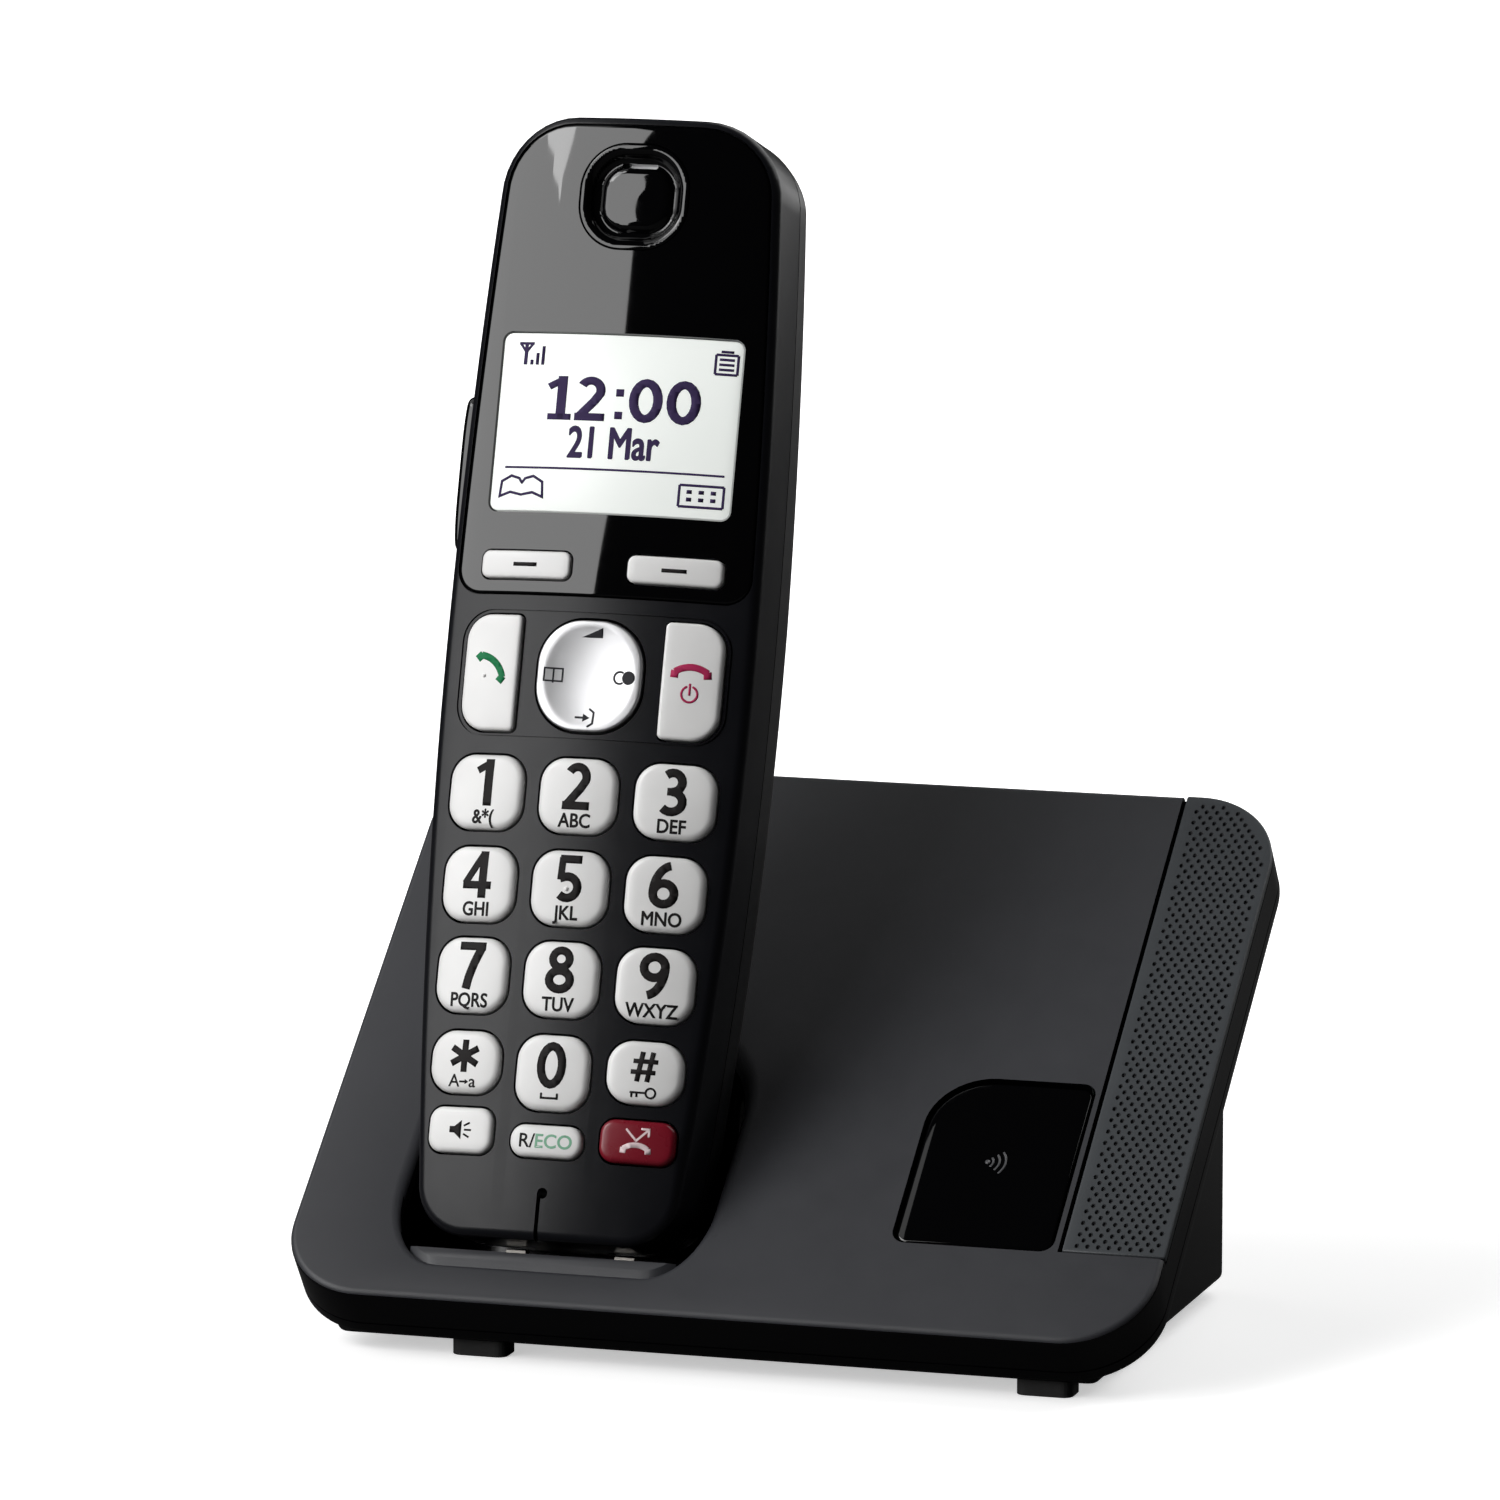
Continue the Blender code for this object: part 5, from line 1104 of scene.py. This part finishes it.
def build_side_key():
    low, high = local_box("side_key", PHONE)
    outline = rounded(low.y, high.y, low.z + 0.5 * MM, high.z - 0.5 * MM, 2 * MM)
    middle = ((low.y + high.y) / 2, (low.z + high.z) / 2)

    def surface(a, b):
        across, along = (a - middle[0]) / (2.5 * MM), (b - middle[1]) / (12.5 * MM)
        return low.x + 0.35 * MM * across ** 2 + 0.5 * MM * along ** 4

    key = pillow("side_key_cap", LEFT_SIDE, outline, surface, high.x, 0.9 * MM, (0.8 * MM, 1.5 * MM), 5)
    stands_for(key, "side_key", GLOSS)


def build_rear_cover():
    start = SPLIT + GAP
    cover = rear_form("handset_rear_shell", 0, start)
    door_low, door_high = local_box("battery_door", PHONE)
    cells_low = local_box("battery_cell_left", PHONE)[0]
    cells_high = local_box("battery_cell_right", PHONE)[1]
    tub_low, tub_high = cells_low.z - 2.4 * MM, cells_high.z + 2.4 * MM
    tub_half, tub_depth = cells_high.x + GAP, cells_low.y - GAP
    seat = door_low.y - GAP
    wall = 1.5 * MM
    hollow = rear_form("rear_hollow", COVER_WALL, 1 * MM)
    boolean(hollow, [slab("seat_land", FACE, (door_low.x - 2.3 * MM, -0.1), (door_high.x + 2.3 * MM,
                                                                         door_high.z + 2.3 * MM),
                          seat - COVER_WALL, 0.1),
                     slab("tub_room", FACE, (-tub_half - wall, tub_low - wall), (tub_half + wall,
                                                                              tub_high + wall), 0, 0.1)])
    boolean(cover, [hollow])
    boolean(cover, [slab("tub", FACE, (-tub_half - wall, tub_low - wall), (tub_half + wall, tub_high + wall),
                         tub_depth - MM, seat - 0.5 * MM)], "UNION")
    cutters = [slab("tub_inside", FACE, (-tub_half, tub_low), (tub_half, tub_high), tub_depth, 0.1),
               slab("door_seat", FACE, (door_low.x - GAP, -0.1), (door_high.x + GAP, door_high.z + GAP), seat,
                    0.1)]
    ringer = local_box("ringer_speaker", PHONE)
    middle = (ringer[0].z + ringer[1].z) / 2
    for index in range(5):
        v = middle + (index - 2) * 2.4 * MM
        cutters.append(prism("ringer_slot", FACE, centred((0, v), 14 * MM, 1 * MM, 0.48 * MM, 6),
                             ringer[1].y - MM, 0.1))
    for node in ("cover_screw_left", "cover_screw_right"):
        low, high = local_box(node, PHONE)
        centre = centre_of((low, high), 0, 2)
        cutters.append(prism("screw_bore", FACE, arc(centre, 3.1 * MM, 0, 350, 35), high.y - 1.9 * MM, 0.1))
    for node in ("handset_terminal_left", "handset_terminal_right"):
        low, high = local_box(node, PHONE)
        cutters.append(slab("terminal_pocket", FACE, (low.x - GAP, -MM), (high.x + GAP, high.z + GAP),
                            low.y - GAP, high.y + GAP))
    boolean(cover, cutters)
    stands_for(cover, "handset_rear_cover", REAR_SATIN)


def build_door():
    low, high = local_box("battery_door", PHONE)
    door = rear_form("battery_door_skin", 0, low.y)
    keep = prism("door_bounds", FACE, rounded(low.x, high.x, low.z, high.z, 1.6 * MM), 0, 0.1)
    boolean(door, [keep], "INTERSECT")
    grips = []
    for index in range(5):
        v = high.z - (7 + index * 1.7) * MM
        half = (8.5 - abs(index - 2) * 0.8) * MM
        grips.append(prism("grip", FACE, centred((0, v), 2 * half, 0.7 * MM, 0.33 * MM, 6),
                           rear_depth(v, 0) - 0.35 * MM, 0.1))
    x, v = 0.0, high.z - 18.5 * MM
    grips.append(prism("arrow", FACE, spots((x, v), (-3, 1.5), (0, -1.8), (3, 1.5)),
                       rear_depth(v, 0) - 0.3 * MM, 0.1))
    boolean(door, grips)
    stands_for(bevelled(door, 0.25 * MM, 2), "battery_door", REAR_SATIN)


# Base

def slab_outline(inset=0.0):
    half = SLAB_WIDTH / 2 - inset
    return rounded(-half, half, inset, SLAB_LENGTH - inset, SLAB_CORNER - inset, 20)


def well_outline(margin):
    """The cradle seen along the handset's length."""
    half = bow(WELL_CORNER * 4) + WELL_SIDE + margin
    return rounded(-half, half, WELL_FRONT - margin, DEPTH + WELL_REAR + margin, WELL_CORNER + margin, 12)


def dense(outline, step):
    """The same loop with long straight runs divided."""
    points = []
    for p, q in zip(outline, outline[1:] + outline[:1]):
        count = max(1, int((Vector(q) - Vector(p)).length / step))
        points += [(p[0] + (q[0] - p[0]) * i / count, p[1] + (q[1] - p[1]) * i / count) for i in range(count)]
    return points


def flared_well():
    """The cradle's hollow, whose walls turn over into the panel with a soft rim."""
    to_panel = TO_PANEL @ PHONE
    outline = dense(well_outline(0), 1.5 * MM)
    way = (to_panel.to_3x3() @ Vector((0, 0, 1)))
    meet = []
    for u, d in outline:
        foot = to_panel @ Vector((u, d, 0))
        meet.append(foot - way * (foot.z / way.z))
    outward = offsets([(p.x, p.y) for p in meet])
    loops = [[to_panel @ Vector((u, d, -WELL_FLOOR)) for u, d in outline]]
    steps = 8
    for step in range(steps + 1):
        t = step / steps
        ring = []
        for p, w in zip(meet, outward):
            low = p - way * (WELL_FILLET / way.z)
            high = p + Vector((w.x, w.y, 0)) * WELL_FILLET + Vector((0, 0, 0.01 * MM))
            ring.append(low * (1 - t) ** 2 + p * 2 * t * (1 - t) + high * t * t)
        loops.append(ring)
    loops.append([p + Vector((0, 0, 4 * MM)) for p in loops[-1]])
    return rings("well", SLOPE, loops)


STRIP_LOW, STRIP_HIGH = local_box("base_side_trim", PANEL)
BUTTON_LOW, BUTTON_HIGH = local_box("locator_button", PANEL)
BUTTON_THICKNESS = 2.6 * MM


def button_outline(margin):
    small, large = 1.8 * MM + margin, 9.5 * MM + margin
    return rounded(BUTTON_LOW.x - margin, BUTTON_HIGH.x + margin, BUTTON_LOW.y - margin,
                   BUTTON_HIGH.y + margin, (small, small, large, small), 12)


def two_tone(piece, other, chosen):
    """Gives the faces that the test picks, seen in the panel's frame, a second material."""
    piece.data.materials.append(other)
    for face in piece.data.polygons:
        if chosen(TO_PANEL.to_3x3() @ face.normal, TO_PANEL @ face.center):
            face.material_index = 1


def build_top_cover():
    cover = pillow("base_panel_shell", TOP, slab_outline(), lambda a, b: 0, COVER_BOTTOM, SLAB_EDGE,
                   (0, 0), 6)
    boolean(cover, [prism("hollow", TOP, slab_outline(2 * MM), 2 * MM, 0.05)])
    shell = prism("well_shell", LENGTHWISE, well_outline(WELL_WALL), -WELL_FLOOR - WELL_WALL, 60 * MM)
    boolean(shell, [slab("above", TOP, (-0.2, -0.1), (0.2, 0.3), -0.2, 1 * MM)])
    boolean(cover, [shell], "UNION")
    cutters = [flared_well(),
               slab("strip_seat", TOP, (STRIP_LOW.x - 0.55 * MM, STRIP_LOW.y - 0.4 * MM), (0.2, 0.3), -0.01,
                    -STRIP_LOW.z + GAP),
               prism("button_opening", TOP, button_outline(0.55 * MM), -0.01, 6 * MM)]
    for node in ("charge_contact_left", "charge_contact_right"):
        u = centre_of(local_box(node, PHONE), 0, 1)[0]
        cutters.append(slab("contact_slot", LENGTHWISE, (u - 2.0 * MM, 16.8 * MM), (u + 2.0 * MM, 19.2 * MM),
                            -20 * MM, 0))
    boolean(cover, cutters)
    stands_for(cover, "base_top_cover", PANEL_SATIN)
    # Faces steeper than the panel or deeper than 1.3 mm get the near-black gloss: on the slab's sides this is the
    # real gloss skirt, inside the cradle well it is painted shade
    two_tone(cover, GLOSS_SKIRT_AND_WELL_SHADE, lambda normal, at: normal.z < 0.55 or at.z < -1.3 * MM)


def slope_cut(name, depth):
    """Everything above the plane that lies this deep under the panel."""
    return slab(name, TOP, (-0.2, -0.15), (0.2, 0.3), -0.3, depth)


def build_bottom_cover():
    base_depth = SLAB_LENGTH * UP_SLOPE.y + SLAB_THICKNESS * abs(OUT.y)
    plate = pillow("base_stand_shell", UNDER, slab_outline(), lambda a, b: 0, PLATE_THICKNESS, 1.0 * MM,
                   (0, 0), 5)
    plan = rounded(-STAND_HALF, STAND_HALF, -base_depth / 2 + SLAB_THICKNESS * abs(OUT.y), STAND_REAR,
                   (2 * MM, STAND_CORNER, STAND_CORNER, 2 * MM), 12)
    stand = pillow("stand", GROUND, plan, lambda a, b: STANDOFF, 0.12, 1.2 * MM, (0, 0), 5)
    boolean(stand, [slope_cut("above", SLAB_THICKNESS - PLATE_THICKNESS / 2)])
    boolean(stand, [prism("reach", TOP, slab_outline(GAP), -0.1, 0.3)], "INTERSECT")
    boolean(plate, [stand], "UNION")
    wall = 2 * MM
    inner = rounded(-STAND_HALF + wall, STAND_HALF - wall, -base_depth / 2, STAND_REAR - wall,
                    STAND_CORNER - wall, 8)
    hollow = prism("stand_hollow", GROUND, inner, STANDOFF + wall, 0.12)
    boolean(hollow, [slope_cut("above", 5 * MM),
                     slab("front", TOP, (-0.2, -0.1), (0.2, STAND_MOUTH), -0.1, 0.2)])
    boolean(plate, [hollow])
    screws = [centre_of(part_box(node), 0, 1) for node in ("base_screw_left", "base_screw_right")]
    for centre in screws:
        boolean(plate, [prism("boss", GROUND, arc(centre, 4.7 * MM, 0, 348, 29), STANDOFF + MM,
                              STANDOFF + 3.8 * MM)], "UNION")
    cutters = []
    for centre in screws:
        cutters.append(prism("bore", GROUND, arc(centre, 3.1 * MM, 0, 348, 29), -0.01, STANDOFF + 2.5 * MM))
        cutters.append(prism("way", GROUND, arc(centre, 1.6 * MM, 0, 340, 17), -0.01, STANDOFF + 9 * MM))
    for node in ("foot_front_left", "foot_front_right", "foot_rear_left", "foot_rear_right"):
        low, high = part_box(node)
        cutters.append(prism("pocket", GROUND, rounded(low.x - GAP, high.x + GAP, low.y - GAP, high.y + GAP,
                                                       1.9 * MM), -0.01, high.z + GAP))
    for node in ("line_jack", "power_jack"):
        low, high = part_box(node)
        cutters.append(slab("window", GROUND, (low.x - GAP, low.y - GAP), (high.x + GAP, high.y + 5 * MM),
                            low.z - GAP, high.z + GAP))
    boolean(plate, cutters)
    stands_for(plate, "base_bottom_cover", GLOSS_SKIRT_AND_WELL_SHADE)


def build_strip():
    """The grey strip with its field of small pits in staggered rows."""
    top, thick = -STRIP_HIGH.z, STRIP_HIGH.z - STRIP_LOW.z
    left, right, low, high = STRIP_LOW.x, STRIP_HIGH.x, STRIP_LOW.y, STRIP_HIGH.y
    outline = rounded(left, right, low, high, (0.35 * MM, SLAB_CORNER, 0.35 * MM, 0.35 * MM), 20)
    strip = pillow("strip", TOP, outline, lambda a, b: top, top + thick, 0.3 * MM, (0, 0), 4)
    pitch_across, pitch_up = 1.71 * MM, 1.16 * MM
    first, last = left + 2.2 * MM, right - 1.0 * MM
    columns = int((last - first) / pitch_across)
    rows = int((high - low - 2.4 * MM) / pitch_up)
    pits = bmesh.new()
    corner = Vector((right - SLAB_CORNER, high - SLAB_CORNER))
    for row in range(rows + 1):
        b = low + 1.2 * MM + row * pitch_up
        for column in range(columns + 1):
            a = first + column * pitch_across + (row % 2) * pitch_across / 2
            beyond = Vector((max(0, a - corner.x), max(0, b - corner.y)))
            if a > last or beyond.length > SLAB_CORNER - 1.3 * MM:
                continue
            high_ring, low_ring = [], []
            for x, y in arc((0, 0), MM, 0, 324, 9):
                high_ring.append(pits.verts.new((a + 0.42 * x, b + 0.52 * y, top - 0.3 * MM)))
                low_ring.append(pits.verts.new((a + 0.3 * x, b + 0.4 * y, top + 0.5 * MM)))
            bridge(pits, high_ring, low_ring)
            pits.faces.new(high_ring)
            pits.faces.new(low_ring)
    boolean(strip, [made(pits, "pits", TOP)])
    stands_for(strip, "base_side_trim", STRIP_SATIN)
    edge = 0.5 * MM
    two_tone(strip, FAINT_INK, lambda normal, at: -top - 0.52 * MM < at.z < -top - 0.2 * MM
             and left + edge < at.x < right - edge)


def build_locator():
    middle = ((BUTTON_LOW.x + BUTTON_HIGH.x) / 2, (BUTTON_LOW.y + BUTTON_HIGH.y) / 2)
    half = ((BUTTON_HIGH.x - BUTTON_LOW.x) / 2, (BUTTON_HIGH.y - BUTTON_LOW.y) / 2)
    top = -BUTTON_HIGH.z

    def surface(a, b):
        x, y = (a - middle[0]) / half[0], (b - middle[1]) / half[1]
        return top + 0.3 * MM * (0.5 * x * x + 0.5 * y * y)

    button = pillow("locator_cap", TOP, button_outline(0), surface, top + BUTTON_THICKNESS, 0.5 * MM,
                    (1.6 * MM, 1.6 * MM), 5)
    boolean(button, [prism("stem", TOP, arc(middle, 2.2 * MM, 0, 345, 23), top + BUTTON_THICKNESS - MM,
                           -BUTTON_LOW.z)], "UNION")
    stands_for(button, "locator_button", GLOSS)
    a, b = middle[0] - 1.2 * MM, middle[1] + 0.3 * MM
    waves = [polygon(arc((a, b), 0.42 * MM, 0, 330, 11))]
    for radius in (1.3, 2.3, 3.3):
        waves.append(stroke(arc((a - 0.4 * MM, b), radius * MM, -38, 38, 8), 0.34 * MM))
    printed("locator_cap_legend", TOP, "locator_button", surface, waves, FAINT_INK)


def screw_head(node, plane, centre, top, length):
    """A cross-head screw: domed head with its recess, shank and thread rings."""
    radius, head_height = 2.75 * MM, 1.6 * MM
    reach = length - head_height
    head = pillow(node + "_head", plane, arc(centre, radius, 0, 350, 35),
                  lambda a, b: top + 0.35 * MM * ((a - centre[0]) ** 2 + (b - centre[1]) ** 2) / radius ** 2,
                  top + head_height, 0.25 * MM, (0.5 * MM, 0.5 * MM), 3)
    a, b = centre
    wide, long = 0.38 * MM, 1.5 * MM
    recess = [slab("cross", plane, (a - long, b - wide), (a + long, b + wide), top - 2 * MM, top + 0.95 * MM),
              slab("cross", plane, (a - wide, b - long), (a + wide, b + long), top - 2 * MM, top + 0.95 * MM)]
    boolean(head, recess)
    thread = []
    turns = int(reach / (0.8 * MM))
    for i in range(turns):
        for share, size in ((0, 0.95), (0.5, 1.3)):
            z = top + 1.5 * MM + (i + share) * reach / turns
            thread.append([(x, y, z) for x, y in arc(centre, size * MM, 0, 345, 23)])
    thread.append([(x, y, top + 1.5 * MM + reach) for x, y in arc(centre, 0.4 * MM, 0, 345, 23)])
    boolean(head, [rings("shank", plane, thread)], "UNION")
    stands_for(head, node, STEEL)


def build_screws():
    for node in ("base_screw_left", "base_screw_right"):
        low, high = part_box(node)
        screw_head(node, GROUND, centre_of((low, high), 0, 1), low.z, high.z - low.z)
    for node in ("cover_screw_left", "cover_screw_right"):
        low, high = local_box(node, PHONE)
        screw_head(node, REAR, centre_of((low, high), 0, 2), -high.y, high.y - low.y)


def build_sockets():
    """Contact wires inside the line socket."""
    low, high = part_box("line_jack")
    middle = (low.x + high.x) / 2
    for index in range(4):
        a = middle + (index - 1.5) * 1.1 * MM
        wire = stroke([(high.y - 1.2 * MM, high.z - 3.1 * MM), (high.y - 4 * MM, high.z - 4.2 * MM),
                       (high.y - 9.6 * MM, high.z - 6.4 * MM)], 0.4 * MM)
        side = (WORLD, lambda y, z, t, a=a: (a + t, y, z))
        finish(sheet(f"line_socket_wire_{index}", side, [wire], 0.4 * MM), "base", NICKEL_WITH_PAINTED_SHADE, "contact_metal")


def dress_cad_nodes():
    """Finishes for the CAD nodes that are carried over, with their edges eased."""
    for node, item in NODES.items():
        if item.hide_render:
            continue
        material = BY_SLOT[SLOT[node]]
        item.data.materials.clear()
        item.data.materials.append(material)
        weld = item.modifiers.new("weld", "WELD")
        weld.merge_threshold = 0.002 * MM
        bevelled(item, 0.15 * MM, 2, 40)


for build in (build_front_cover, build_window, build_earpiece, build_display, build_number_keys,
              build_function_keys, build_call_keys, build_navigation, build_side_key, build_rear_cover,
              build_door, build_top_cover, build_bottom_cover, build_strip, build_locator, build_screws,
              build_sockets, dress_cad_nodes):
    build()
